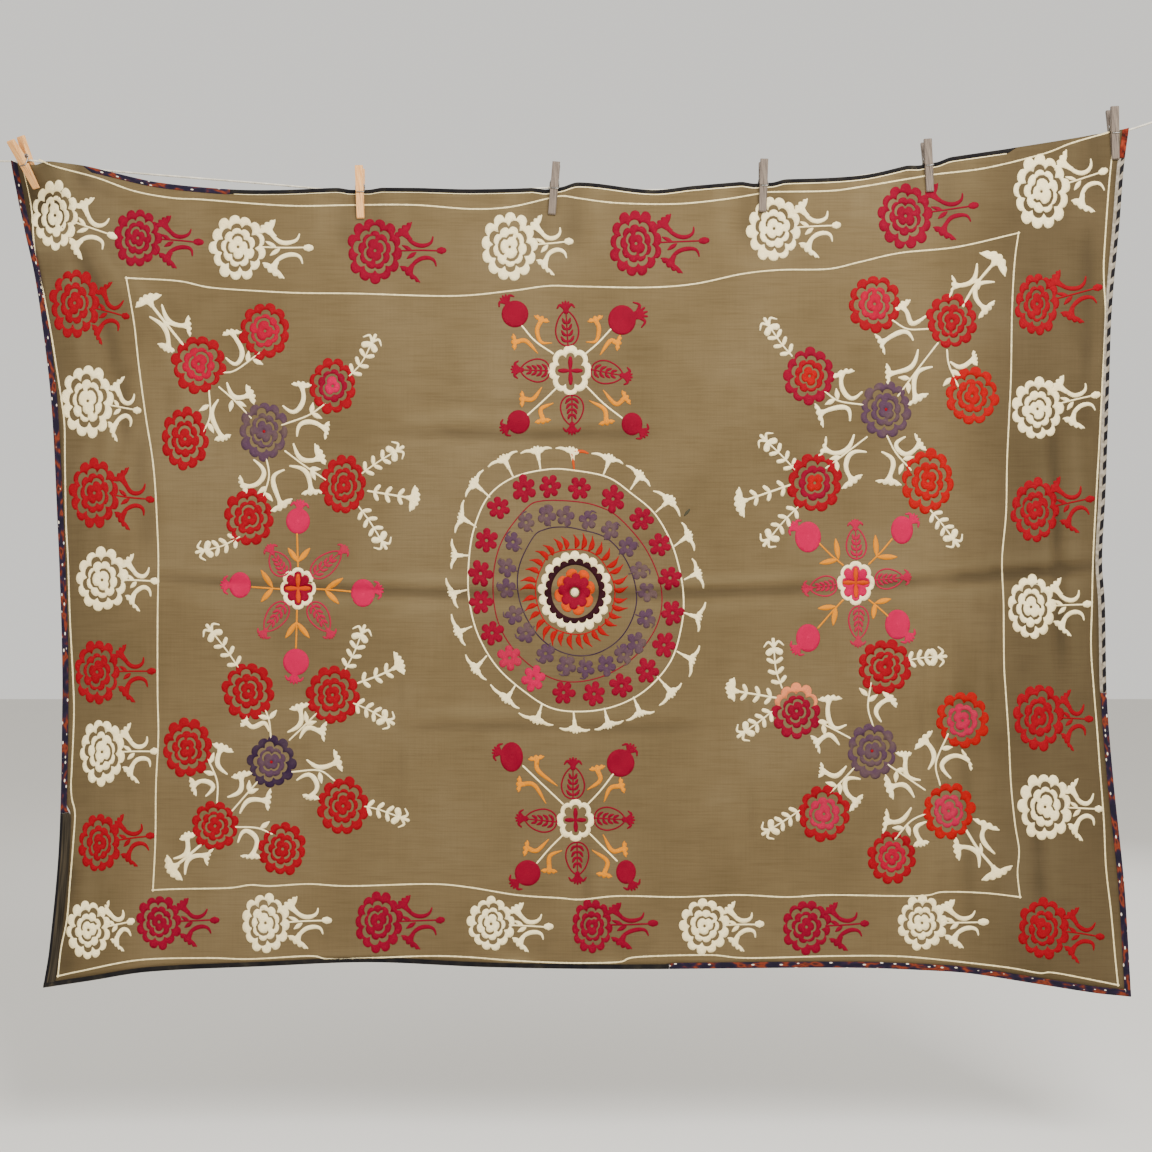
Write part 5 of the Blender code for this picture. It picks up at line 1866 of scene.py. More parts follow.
@dataclass
class Needlework:
    """Turns patches into raised stitching that lies on the cloth. Sizes are in millimetres."""

    cloth: Cloth
    edge_lift: float = 0.22
    full_lift: float = 0.75
    crown: float = 2.4
    spacing: float = 4.4
    row_spacing: float = 0.87
    clear: float = 1.7
    spine_clear: float = 0.45
    sunk: float = 0.4
    clamped_lift: float = 0.3
    held: dict[str, list[tuple[np.ndarray, np.ndarray, np.ndarray]]] = field(default_factory=dict)
    yarns: dict[str, Yarn] = field(default_factory=dict)

    def add(self, region: str, layers: Iterable[tuple[Yarn, Patch]]) -> None:
        """Takes the patches of a region, sorted by their yarn."""
        for yarn, patch in layers:
            name = f"stitching_{region}_{yarn.name.lower()}"
            self.yarns[name] = yarn
            self.held.setdefault(name, []).append(self.stitched(patch))

    def stitched(self, patch: Patch) -> tuple[np.ndarray, np.ndarray, np.ndarray]:
        """Divides a patch into triangles.

        Args:
            patch: the outlines, in pixels.

        Returns:
            Its points as X and Z, its triangles, and how far each point is from the patch's edge.
        """
        fills = [from_pixels(rows) for rows in patch.fills]
        cuts = [from_pixels(rows) for rows in patch.cuts]
        loops = fills + cuts
        points, edges = [], []
        for loop in loops:
            start = len(points)
            points += loop.tolist()
            edges += [(start + i, start + (i + 1) % len(loop)) for i in range(len(loop))]
        starts = np.vstack(loops)
        ends = np.vstack([np.roll(loop, -1, axis=0) for loop in loops])
        low, high = starts.min(axis=0), starts.max(axis=0)
        across = np.arange(low[0], high[0], self.spacing)
        down = np.arange(low[1], high[1], self.spacing * self.row_spacing)
        lattice = np.array([
            (x + (0.5 * self.spacing if row % 2 else 0.0), z) for row, z in enumerate(down) for x in across
        ]).reshape(-1, 2)
        extra = np.vstack([lattice] + [from_pixels(rows) for rows in patch.spine])
        if len(extra):
            gaps, _place = distance_to(extra, starts, ends)
            limit = np.where(np.arange(len(extra)) < len(lattice), self.clear, self.spine_clear)
            points += extra[gaps > limit].tolist()
        verts, _edges, faces, *_rest = delaunay_2d_cdt([Vector(p) for p in points], edges, [], 0, 1e-4)
        places = np.array([tuple(v) for v in verts])
        triangles = np.array([tuple(f) for f in faces])
        middles = places[triangles].mean(axis=1)
        kept = np.zeros(len(triangles), bool)
        for loop in fills:
            kept |= within(middles, loop)
        for loop in cuts:
            kept &= ~within(middles, loop)
        triangles = triangles[kept]
        used, numbers = np.unique(triangles, return_inverse=True)
        places, triangles = places[used], numbers.reshape(-1, 3)
        rim = self.open_edges(triangles)
        gaps, _place = distance_to(places, places[rim[:, 0]], places[rim[:, 1]])
        return places, triangles, gaps

    @staticmethod
    def open_edges(triangles: np.ndarray) -> np.ndarray:
        """The edges that belong to one triangle only, in its own direction."""
        sides = np.concatenate([triangles[:, [0, 1]], triangles[:, [1, 2]], triangles[:, [2, 0]]])
        count = int(triangles.max()) + 1
        codes = sides[:, 0] * count + sides[:, 1]
        other = sides[:, 1] * count + sides[:, 0]
        return sides[~np.isin(codes, other)]

    def lift(self, x: np.ndarray, z: np.ndarray, gaps: np.ndarray) -> np.ndarray:
        """How far the stitching stands off the cloth, less where a peg presses it."""
        share = np.minimum(gaps / self.crown, 1.0)
        raised = self.edge_lift + (self.full_lift - self.edge_lift) * np.sqrt(1 - (1 - share) ** 2)
        for peg in PEGS:
            raised = np.where(peg.presses(x, z), np.minimum(raised, self.clamped_lift), raised)
        return raised

    def build(self, finish: Callable[[Yarn], bpy.types.Material]) -> list[bpy.types.Object]:
        """All the stitching, one piece for each region and yarn.

        Args:
            finish: gives each yarn its material.

        Returns:
            The pieces.
        """
        made = []
        for name, groups in self.held.items():
            points, faces, rows = [], [], []
            for places, triangles, gaps in groups:
                start = len(points)
                ground = self.cloth.on_front(places)
                raised = self.lift(ground[:, 0], ground[:, 2], gaps)
                count = len(places)
                top = np.column_stack([ground[:, 0], ground[:, 1] - raised, ground[:, 2]])
                points += (top * MM).tolist()
                points += ((ground + (0.0, self.sunk, 0.0)) * MM).tolist()
                faces += (triangles + start).tolist()
                faces += (triangles[:, ::-1] + start + count).tolist()
                rim = self.open_edges(triangles) + start
                faces += [(b, a, a + count, b + count) for a, b in rim.tolist()]
                rows += gaps.tolist() * 2
            piece = make_object(name, points, faces, finish(self.yarns[name]))
            add_attribute(piece.data, "row", rows)
            made.append(piece)
        return made


OUTER_LINE = (
    (
        (40, 160), (57, 167), (96, 177.5), (134, 191), (172, 198), (201, 199.5), (258, 204), (300, 206),
        (356, 205), (414, 205), (471, 209), (510, 207), (548, 198.5), (563, 196), (580, 198.5), (617, 203),
        (675, 204), (723, 199.5), (757, 194), (770, 192), (828, 191), (860, 187), (925, 176), (938, 174),
        (986, 168), (1043, 154), (1072, 143), (1108, 132.6),
    ),
    (
        (20, 159), (25, 176), (31, 205), (35, 253), (42, 286), (50.5, 330), (56, 364), (61.5, 400),
        (64.5, 425), (65, 462), (66, 521), (68, 560), (70, 619), (73, 677), (74, 714), (72, 765), (71, 785),
        (72, 799), (75, 814), (73, 846), (70, 883), (67, 919), (61, 949), (58, 976),
    ),
    (
        (58, 976), (81, 971), (139, 960), (206, 958), (250, 959), (309, 956), (329, 959), (369, 958),
        (428, 956), (467, 957), (505, 960), (540, 962), (579, 963), (619, 962), (637, 957), (708, 955),
        (748, 958), (833, 956), (892, 956), (933, 959), (1004, 967), (1039, 973), (1056, 973), (1118, 985),
    ),
    (
        (1118, 985), (1115, 956), (1111, 912), (1106, 868), (1104, 824), (1102, 795), (1100, 770),
        (1097, 729), (1094, 692), (1091, 648), (1092, 604), (1093, 560), (1096, 499), (1099, 447),
        (1102, 389), (1105, 330), (1105.5, 310), (1103.6, 271), (1105.5, 233), (1109, 185), (1112, 156),
    ),
)
INNER_LINE = (
    (
        (126.3, 278), (178, 281), (210, 287.5), (258, 291), (300, 293), (356, 293.6), (452, 296),
        (510, 291), (548, 286), (580, 286.5), (646, 287.5), (694, 284), (742, 274), (780, 270), (828, 269),
        (860, 262), (900, 253), (957, 247), (1018.5, 233),
    ),
    (
        (126.3, 278), (132, 310), (135, 330), (139, 367), (146, 418), (152, 455), (155, 484), (157, 521),
        (158.4, 560), (157.6, 619), (157.6, 692), (158.4, 736), (156, 785), (155.4, 839), (153, 890),
    ),
    (
        (153, 890), (177, 889), (228, 888), (250, 885), (270, 886), (309, 884), (349, 886), (428, 884),
        (467, 887), (517, 895), (560, 898), (581, 899.5), (619, 896), (678, 897), (738, 895), (787, 897),
        (830, 895), (918, 896), (943, 892), (984, 893), (1020, 897),
    ),
    (
        (1020, 897), (1017.5, 873), (1019, 850), (1015, 824), (1011, 785), (1008.6, 736), (1005.7, 692),
        (1004, 663), (1003.5, 604), (1002, 560), (1006, 513), (1007, 462), (1009, 418), (1011, 374),
        (1012, 310), (1014.6, 262), (1018.5, 233),
    ),
)


@dataclass
class ChainStitch:
    """Rows of chain stitch along drawn lines, each link made by Geometry Nodes. Sizes in mm."""

    cloth: Cloth
    pitch: float = 2.9
    link_length: float = 4.2
    link_width: float = 1.4
    yarn: float = 1.0
    press: float = 0.5
    lift: float = 0.25

    def tree(self) -> bpy.types.NodeTree:
        """The tree that lays a link at each step along the lines.

        Returns:
            The tree, with inputs for its sizes and its finish.
        """
        tree = bpy.data.node_groups.new("chain_stitch", "GeometryNodeTree")
        face = tree.interface
        face.new_socket("Geometry", in_out="INPUT", socket_type="NodeSocketGeometry")
        for name in ("Pitch", "Link length", "Link width", "Yarn thickness", "Press"):
            face.new_socket(name, in_out="INPUT", socket_type="NodeSocketFloat")
        face.new_socket("Finish", in_out="INPUT", socket_type="NodeSocketMaterial")
        face.new_socket("Geometry", in_out="OUTPUT", socket_type="NodeSocketGeometry")
        given = tree.nodes.new("NodeGroupInput").outputs
        lines = add_node(tree, "GeometryNodeMeshToCurve", links={"Mesh": given["Geometry"]})
        steps = add_node(
            tree, "GeometryNodeResampleCurve", mode="LENGTH",
            links={"Curve": lines.outputs[0], "Length": given["Pitch"]},
        )
        heading = tree.nodes.new("GeometryNodeInputTangent")
        turn = add_node(
            tree, "FunctionNodeAxesToRotation", primary_axis="X", secondary_axis="Z",
            values={"Secondary Axis": (0.0, -1.0, 0.0)}, links={"Primary Axis": heading.outputs[0]},
        )
        loop = add_node(tree, "GeometryNodeCurvePrimitiveCircle", values={"Resolution": 8, "Radius": 0.5})
        thread = add_node(
            tree, "GeometryNodeCurvePrimitiveCircle", values={"Resolution": 4},
            links={"Radius": given["Yarn thickness"]},
        )
        shape = add_node(
            tree, "ShaderNodeCombineXYZ", values={"Z": 1.0},
            links={"X": given["Link length"], "Y": given["Link width"]},
        )
        oval = add_node(
            tree, "GeometryNodeTransform", links={"Geometry": loop.outputs[0], "Scale": shape.outputs[0]},
        )
        link = add_node(
            tree, "GeometryNodeCurveToMesh",
            links={"Curve": oval.outputs[0], "Profile Curve": thread.outputs[0]},
        )
        flat = add_node(
            tree, "ShaderNodeCombineXYZ", values={"X": 1.0, "Y": 1.0}, links={"Z": given["Press"]},
        )
        pressed = add_node(
            tree, "GeometryNodeTransform", links={"Geometry": link.outputs[0], "Scale": flat.outputs[0]},
        )
        chance = add_node(
            tree, "FunctionNodeRandomValue", data_type="FLOAT_VECTOR",
            values={0: (0.92, 0.88, 0.9), 1: (1.08, 1.12, 1.1), "Seed": 7},
        )
        row = add_node(
            tree, "GeometryNodeInstanceOnPoints",
            links={
                "Points": steps.outputs[0], "Instance": pressed.outputs[0],
                "Rotation": turn.outputs[0], "Scale": chance.outputs[0],
            },
        )
        real = add_node(tree, "GeometryNodeRealizeInstances", links={"Geometry": row.outputs[0]})
        done = add_node(
            tree, "GeometryNodeSetMaterial", links={"Geometry": real.outputs[0], "Material": given["Finish"]}
        )
        add_node(tree, "NodeGroupOutput", links={"Geometry": done.outputs[0]})
        return tree

    def build(self, name: str, lines: Sequence[Path], material: bpy.types.Material) -> bpy.types.Object:
        """One piece with the chain stitch of several lines.

        Args:
            name: the piece's name.
            lines: the lines' places, in pixels.
            material: its finish.

        Returns:
            The piece, a plain mesh.
        """
        points, edges = [], []
        for line in lines:
            rows = self.cloth.on_front(from_pixels(smooth_path(line, 3.0)))
            start = len(points)
            for x, y, z in rows:
                pressed = any(peg.presses(x, z) for peg in PEGS)
                points.append((x * MM, (y - (0.0 if pressed else self.lift)) * MM, z * MM))
            edges += [(i, i + 1) for i in range(start, len(points) - 1)]
        mesh = bpy.data.meshes.new(name)
        mesh.from_pydata(points, edges, [])
        source = bpy.data.objects.new(name, mesh)
        bpy.context.scene.collection.objects.link(source)
        modifier = source.modifiers.new("chain", "NODES")
        modifier.node_group = self.tree()
        values = {
            "Pitch": self.pitch * MM, "Link length": self.link_length * MM,
            "Link width": self.link_width * MM, "Yarn thickness": self.yarn * MM * 0.5, "Press": self.press,
            "Finish": material,
        }
        return applied(source, modifier, values)


def applied(
    source: bpy.types.Object, modifier: bpy.types.Modifier, values: dict[str, object]
) -> bpy.types.Object:
    """Sets a Geometry Nodes modifier's inputs, and turns its result into the piece's plain mesh.

    Args:
        source: the object with the modifier.
        modifier: the modifier, with its tree.
        values: the inputs by their names.

    Returns:
        The same object, without the modifier.
    """
    for item in modifier.node_group.interface.items_tree:
        if item.item_type == "SOCKET" and item.in_out == "INPUT" and item.name in values:
            modifier[item.identifier] = values[item.name]
    bpy.context.view_layer.update()
    graph = bpy.context.evaluated_depsgraph_get()
    mesh = bpy.data.meshes.new_from_object(source.evaluated_get(graph), depsgraph=graph)
    source.modifiers.remove(modifier)
    old = source.data
    source.data = mesh
    bpy.data.meshes.remove(old)
    mesh.name = source.name
    mesh.shade_smooth()
    if not any(mesh.materials):
        mesh.materials.clear()
        mesh.materials.append(values["Finish"])
    return source


@dataclass
class Edging:
    """The sewn strips round the cloth, each a soft folded band. Sizes are in millimetres."""

    cloth: Cloth
    seam: float = 0.15
    half: float = 0.75
    step: float = 4.0

    SECTION = (
        (-0.06, -1.1), (0.12, -1.35), (0.5, -1.25), (0.85, -1.15), (0.98, -0.6), (0.98, 0.6),
        (0.85, 1.1), (0.4, 1.1), (-0.06, 1.0),
    )

    def build(self, strip: Strip, material: bpy.types.Material) -> bpy.types.Object:
        """One strip, with a UV map in millimetres along and across it."""
        length = self.cloth.edges[strip.edge].length
        count = max(2, math.ceil((strip.end - strip.start) * length / self.step))
        reach = self.cloth.seam_run * 0.9 / length
        low = strip.start - reach if free_end(strip.edge, strip.start) else strip.start + self.seam / length
        high = strip.end + reach if free_end(strip.edge, strip.end) else strip.end - self.seam / length
        section = np.array(self.SECTION)
        shares = np.repeat(np.linspace(low, high, count + 1), len(section))
        depths, levels = np.tile(section, (count + 1, 1)).T
        points = self.spots(strip, shares, depths, levels)
        uvs = np.column_stack([shares * length, depths * strip.width]) * MM
        wide = len(section)
        faces = []
        for row in range(count):
            for side in range(wide):
                a, b = row * wide + side, row * wide + (side + 1) % wide
                faces.append((a, b, b + wide, a + wide))
        faces.append(tuple(range(wide))[::-1])
        faces.append(tuple(count * wide + i for i in range(wide)))
        made = make_object(strip.name + "_band", points, faces, material)
        layer = made.data.uv_layers.new(name="along")
        for loop in made.data.loops:
            layer.data[loop.index].uv = uvs[loop.vertex_index]
        if strip.edge in ("right", "bottom"):
            made.data.flip_normals()
        return made

    def spots(self, strip: Strip, shares: np.ndarray, depths: np.ndarray, levels: np.ndarray) -> np.ndarray:
        """Points of the strip, by their shares of the edge, their shares outwards and levels."""
        inward = self.cloth.inset(strip.edge, shares) * (1.0 - depths)
        other = inward if strip.edge in ("left", "top") else 1.0 - inward
        pair = (other, shares) if strip.edge in ("left", "right") else (shares, other)
        places = self.cloth.place(*pair)
        places[:, 1] += levels * self.half
        return places * MM


@dataclass
class TopCord:
    """The thin cream cord sewn below the black piping along the top edge.

    Its start, end and how far it lies below the piping are shares of the cloth, and its radius and
    how clear it lies of the cloth are in millimetres.
    """

    cloth: Cloth
    start: float = 0.2
    end: float = 0.89
    radius: float = 0.8
    sides: int = 6
    places: int = 330
    below: float = 0.0008
    clear: float = 0.2

    def build(self, material: bpy.types.Material) -> bpy.types.Object:
        """The cord, as a closed tube."""
        shares = np.linspace(self.start, self.end, self.places)
        rows = self.cloth.place(shares, self.cloth.inset("top", shares) + self.below)
        lift = self.cloth.thickness / 2 + self.clear
        path = [(x * MM, (y - lift) * MM, z * MM) for x, y, z in rows]
        grow = np.interp(shares, (self.start, 0.42, 0.5, self.end), (0.6, 0.7, 1.15, 1.0))
        return tube("top_cord", path, [self.radius * g * MM for g in grow], self.sides, material)


def tube(
    name: str,
    path: Sequence[Point],
    radii: Sequence[float],
    sides: int,
    material: bpy.types.Material,
    twist: float = 0.0,
    lobes: int = 0,
    groove: float = 0.0,
) -> bpy.types.Object:
    """A closed tube along a path, which may have twisted lobes, with a UV map along it.

    Args:
        name: the piece's name.
        path: its places in metres.
        radii: its radius at each of them.
        sides: how many sides it has.
        material: its finish.
        twist: turns for each metre.
        lobes: how many strands show round it.
        groove: how deep the grooves between strands are, as a share of the radius.

    Returns:
        The tube.
    """
    rows = [Vector(p) for p in path]
    frames = []
    normal = Vector((0.0, -1.0, 0.0))
    for index, spot in enumerate(rows):
        way = (rows[min(index + 1, len(rows) - 1)] - rows[max(index - 1, 0)]).normalized()
        normal = (normal - way * normal.dot(way)).normalized()
        frames.append((spot, normal.copy(), way.cross(normal)))
    points, uvs, run = [], [], 0.0
    for index, (spot, out, side) in enumerate(frames):
        if index:
            run += (rows[index] - rows[index - 1]).length
        for step in range(sides):
            angle = 2 * math.pi * step / sides
            size = radii[index]
            if lobes:
                size *= 1.0 - groove * (1 - abs(math.cos(lobes * angle / 2)))
            turned = angle + 2 * math.pi * twist * run
            points.append(spot + (out * math.cos(turned) + side * math.sin(turned)) * size)
            uvs.append((run, step / sides))
    faces = []
    for index in range(len(rows) - 1):
        for step in range(sides):
            a, b = index * sides + step, index * sides + (step + 1) % sides
            faces.append((a, a + sides, b + sides, b))
    faces.append(tuple(range(sides)))
    last = (len(rows) - 1) * sides
    faces.append(tuple(last + step for step in range(sides))[::-1])
    made = make_object(name, points, faces, material)
    layer = made.data.uv_layers.new(name="along")
    for loop in made.data.loops:
        layer.data[loop.index].uv = uvs[loop.vertex_index]
    return made


@dataclass
class ClothesLine:
    """The taut twisted line with a knot and a loop at each end. Sizes are in millimetres."""

    radius: float = 1.5
    step: float = 27.0
    fine_step: float = 1.6
    peg_reach: float = 7.0
    twist: float = 95.0
    knot_radius: float = 3.6
    wraps: int = 3
    wrap_length: float = 4.4
    gap: float = 0.3
    loop_radius: float = 12.0
    loop_steps: int = 48
    sides: int = 8

    LEFT = ((-862.0, 30.0, 42.0), (-842.0, 26.0, 40.0), (-823.0, 19.0, 38.0))
    SPANS = (
        ((-740.0, -1.0, 25.0), (-603.0, 0.0, 13.0), (-450.0, 0.0, 0.5)),
        ((-172.0, 0.0, -12.5),),
        ((120.0, 0.0, -8.5),),
        ((392.0, 0.0, 9.0),),
        ((645.0, 0.0, 47.5),),
    )
    RIGHT = ((822.0, 0.0, 84.5), (858.0, 0.0, 97.0))

    def route(self) -> list[Vector]:
        """The route's own points: straight through each peg's jaws, free between the pegs."""
        route = [Vector(p) for p in self.LEFT]
        for index, peg in enumerate(PEGS):
            clamp = Vector((peg.x, 0.0, peg.z))
            along = peg.turn() @ Vector((self.peg_reach, 0.0, 0.0))
            route += [clamp - along, clamp + along]
            if index < len(self.SPANS):
                route += [Vector(p) for p in self.SPANS[index]]
        return route + [Vector(p) for p in self.RIGHT]

    def curve(self, steps: Callable[[float], int]) -> list[Vector]:
        """Points of the smooth curve, with so many pieces for a stretch of that length."""
        route = self.route()
        rows = [2 * route[0] - route[1]] + route + [2 * route[-1] - route[-2]]
        found = []
        for before, start, end, after in zip(rows, rows[1:], rows[2:], rows[3:]):
            length = (end - start).length
            into = (end - before) * (length / ((start - before).length + length))
            out = (after - start) * (length / ((after - end).length + length))
            count = steps(length)
            found += [eased(index / count, start, end, into, out) for index in range(count)]
        return found + [rows[-2]]

    def build(self, material: bpy.types.Material) -> bpy.types.Object:
        """The line, its knots and loops, each put on the root body in place of its solid."""
        path = [p * MM for p in self.curve(lambda length: max(1, round(length / self.fine_step)))]
        line = tube(
            "clothesline", path, [self.radius * MM * 1.04] * len(path), 12, material, self.twist, 3, 0.16
        )
        coarse = self.curve(lambda length: max(1, round(length / self.step)))
        ends = []
        for side, end, before in (("left", coarse[0], coarse[1]), ("right", coarse[-1], coarse[-2])):
            away = (end - before).normalized()
            ends += [self.knot(side, end, away, material), self.loop(side, end, away, material)]
        nodes = ("line", "knot_left", "loop_left", "knot_right", "loop_right")
        for piece, node in zip([line] + ends, nodes):
            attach(piece, "root")
            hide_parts(node)
        return line

    def knot(self, side: str, end: Vector, away: Vector, material: bpy.types.Material) -> bpy.types.Object:
        """Three wraps of the line round itself, as a wound tube closed by its own ends."""
        out = away.orthogonal().normalized()
        across = away.cross(out)
        total = self.wraps * self.wrap_length
        wound = self.wrap_length / 2.15
        coil = self.knot_radius - wound * 0.55
        path, radii = [], []
        count = 16 * self.wraps
        for step in range(count + 1):
            share = step / count
            angle = 2 * math.pi * self.wraps * share
            height = self.gap + wound * 0.8 + (total - wound * 1.6) * share
            place = end + away * height + (out * math.cos(angle) + across * math.sin(angle)) * coil
            path.append(place * MM)
            radii.append(wound * 0.62 * MM)
        return tube(f"line_knot_{side}", path, radii, self.sides, material)

    def loop(self, side: str, end: Vector, away: Vector, material: bpy.types.Material) -> bpy.types.Object:
        """The eye beyond the knot that a hook takes."""
        start = end + away * (self.gap + self.wraps * self.wrap_length)
        centre = start + away * (self.loop_radius + self.radius)
        count, sides = self.loop_steps, self.sides
        points, faces = [], []
        for step in range(count):
            turn = 2 * math.pi * step / count
            out = Vector((math.cos(turn), 0.0, math.sin(turn)))
            for part in range(sides):
                angle = 2 * math.pi * part / sides
                size = self.radius * (1.0 - 0.12 * (1 - abs(math.cos(1.5 * angle))))
                angle += turn * 9
                place = centre + out * (self.loop_radius + size * math.cos(angle))
                points.append((place + Vector((0.0, 1.0, 0.0)) * size * math.sin(angle)) * MM)
        for step in range(count):
            after = (step + 1) % count
            for part in range(sides):
                near, far, shift = step * sides, after * sides, (part + 1) % sides
                faces.append((near + part, near + shift, far + shift, far + part))
        return make_object(f"line_loop_{side}", points, faces, material)


@dataclass
class PegMaker:
    """The clothes pegs: two bevelled wooden legs each, and a wound wire spring. Sizes in mm."""

    width: float = 11.0
    top: float = 35.5
    bottom: float = -39.5
    jaw: float = 1.1
    tip_depth: float = 4.6
    tip_bevel: float = 1.5
    handle_inner: float = 8.2
    handle_outer: float = 14.2
    coil_height: float = 8.0
    coil_radius: float = 2.5
    wire_radius: float = 0.8
    coil_turns: int = 3
    coil_steps: int = 18
    slot_radius: float = 2.1
    groove_height: float = -2.5
    groove_half: float = 1.1
    groove_depth: float = 8.5
    seam: float = 0.3
    rounding: float = 0.35

    def outer(self, height: float) -> float:
        """How deep the outer face of a leg is at a height."""
        low, high = self.bottom + self.tip_bevel, self.top - self.tip_bevel
        share = (height - low) / (high - low)
        return self.tip_depth + (self.handle_outer - self.tip_depth) * share

    def arc(
        self, deep: float, high: float, radius: float, start: float, end: float, count: int
    ) -> list[Point]:
        """Points of an arc in a leg's outline, by angles in degrees from straight out."""
        angles = [math.radians(start + (end - start) * step / count) for step in range(count + 1)]
        return [(deep + radius * math.cos(a), high + radius * math.sin(a)) for a in angles]

    def outline(self) -> list[Point]:
        """A leg from the side, as depth and height: up its outer face, then down its inner one."""
        low, high = self.groove_height - self.groove_half, self.groove_height + self.groove_half
        outer = [
            (self.tip_depth - self.tip_bevel, self.bottom), (self.tip_depth, self.bottom + self.tip_bevel),
            (self.outer(low), low), (self.groove_depth, low), (self.groove_depth, high),
            (self.outer(high), high), (self.handle_outer, self.top - self.tip_bevel),
            (self.handle_outer - self.tip_bevel, self.top), (self.handle_inner, self.top),
        ]
        notch = self.coil_radius + self.wire_radius + 0.4
        coil = self.arc(0.0, self.coil_height, notch, 62.0, -68.0, 8)
        slot = self.arc(LINE_DEPTH, 0.0, self.slot_radius, 90.0, -90.0, 8)
        inner = coil + [(self.jaw, coil[-1][1] - 0.3), (self.jaw, self.slot_radius)] + slot
        return outer + inner + [(self.jaw, -self.slot_radius), (self.jaw, self.bottom)]

    def leg(self, peg: Peg, side: str, material: bpy.types.Material) -> bpy.types.Object:
        """One leg with its edges rounded, and a UV map along its grain."""
        sign = -1.0 if side == "front" else 1.0
        turn, middle = peg.turn(), peg.middle()
        outline = self.outline()
        half = self.width / 2
        count = len(outline)
        points, grain = [], []
        for across in (-half, half):
            for deep, high in outline:
                points.append((turn @ Vector((across, sign * deep, high)) + middle) * MM)
                grain.append((high * MM, across * MM + deep * MM * 0.7))
        faces = [tuple(range(count)), tuple(range(2 * count - 1, count - 1, -1))]
        faces += [(i, i + count, (i + 1) % count + count, (i + 1) % count) for i in range(count)]
        made = make_object(f"{peg.name}_{side}_wood", points, faces, material, False)
        mesh = made.data
        if sign > 0:
            mesh.flip_normals()
        layer = mesh.uv_layers.new(name="grain")
        for loop in mesh.loops:
            layer.data[loop.index].uv = grain[loop.vertex_index]
        bevel = made.modifiers.new("rounding", "BEVEL")
        bevel.width = self.rounding * MM
        bevel.segments = 2
        bevel.limit_method = "ANGLE"
        bevel.angle_limit = math.radians(35)
        bevel.harden_normals = True
        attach(made, "root")
        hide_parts(f"{peg.name}_leg_{side}")
        return made

    def spring(self, peg: Peg, material: bpy.types.Material) -> bpy.types.Object:
        """The wire: one arm, the coil between the legs, and the other arm."""
        side = self.width / 2 + self.seam + self.wire_radius
        hook = self.groove_depth + self.seam + self.wire_radius
        fall = math.atan2(self.coil_height - self.groove_height, hook)
        start, end = fall - math.pi / 2, 1.5 * math.pi - fall
        total = self.coil_turns * 2 * math.pi + end - start
        count = round(total / (2 * math.pi) * self.coil_steps)
        coil = []
        for step in range(count + 1):
            angle = start + total * step / count
            coil.append(Vector((
                -side + 2 * side * step / count,
                -self.coil_radius * math.cos(angle),
                self.coil_height + self.coil_radius * math.sin(angle),
            )))
        bend, reach = 1.2, self.width / 2 - 1.0
        arm = [
            Vector((side, -hook + bend, self.groove_height + bend)),
            Vector((side - 0.12 * bend, -hook + 0.6 * bend, self.groove_height + 0.55 * bend)),
            Vector((side - 0.35 * bend, -hook + 0.3 * bend, self.groove_height + 0.2 * bend)),
            Vector((side - 0.66 * bend, -hook + 0.08 * bend, self.groove_height + 0.05 * bend)),
            Vector((side - bend, -hook, self.groove_height)),
            Vector((-reach, -hook, self.groove_height)),
        ]
        back = [Vector((-p.x, -p.y, p.z)) for p in reversed(arm)]
        turn, middle = peg.turn(), peg.middle()
        path = [(turn @ p + middle) * MM for p in back + coil + arm]
        made = tube(f"{peg.name}_wire", path, [self.wire_radius * MM] * len(path), 8, material)
        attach(made, "root")
        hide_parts(f"{peg.name}_spring")
        return made


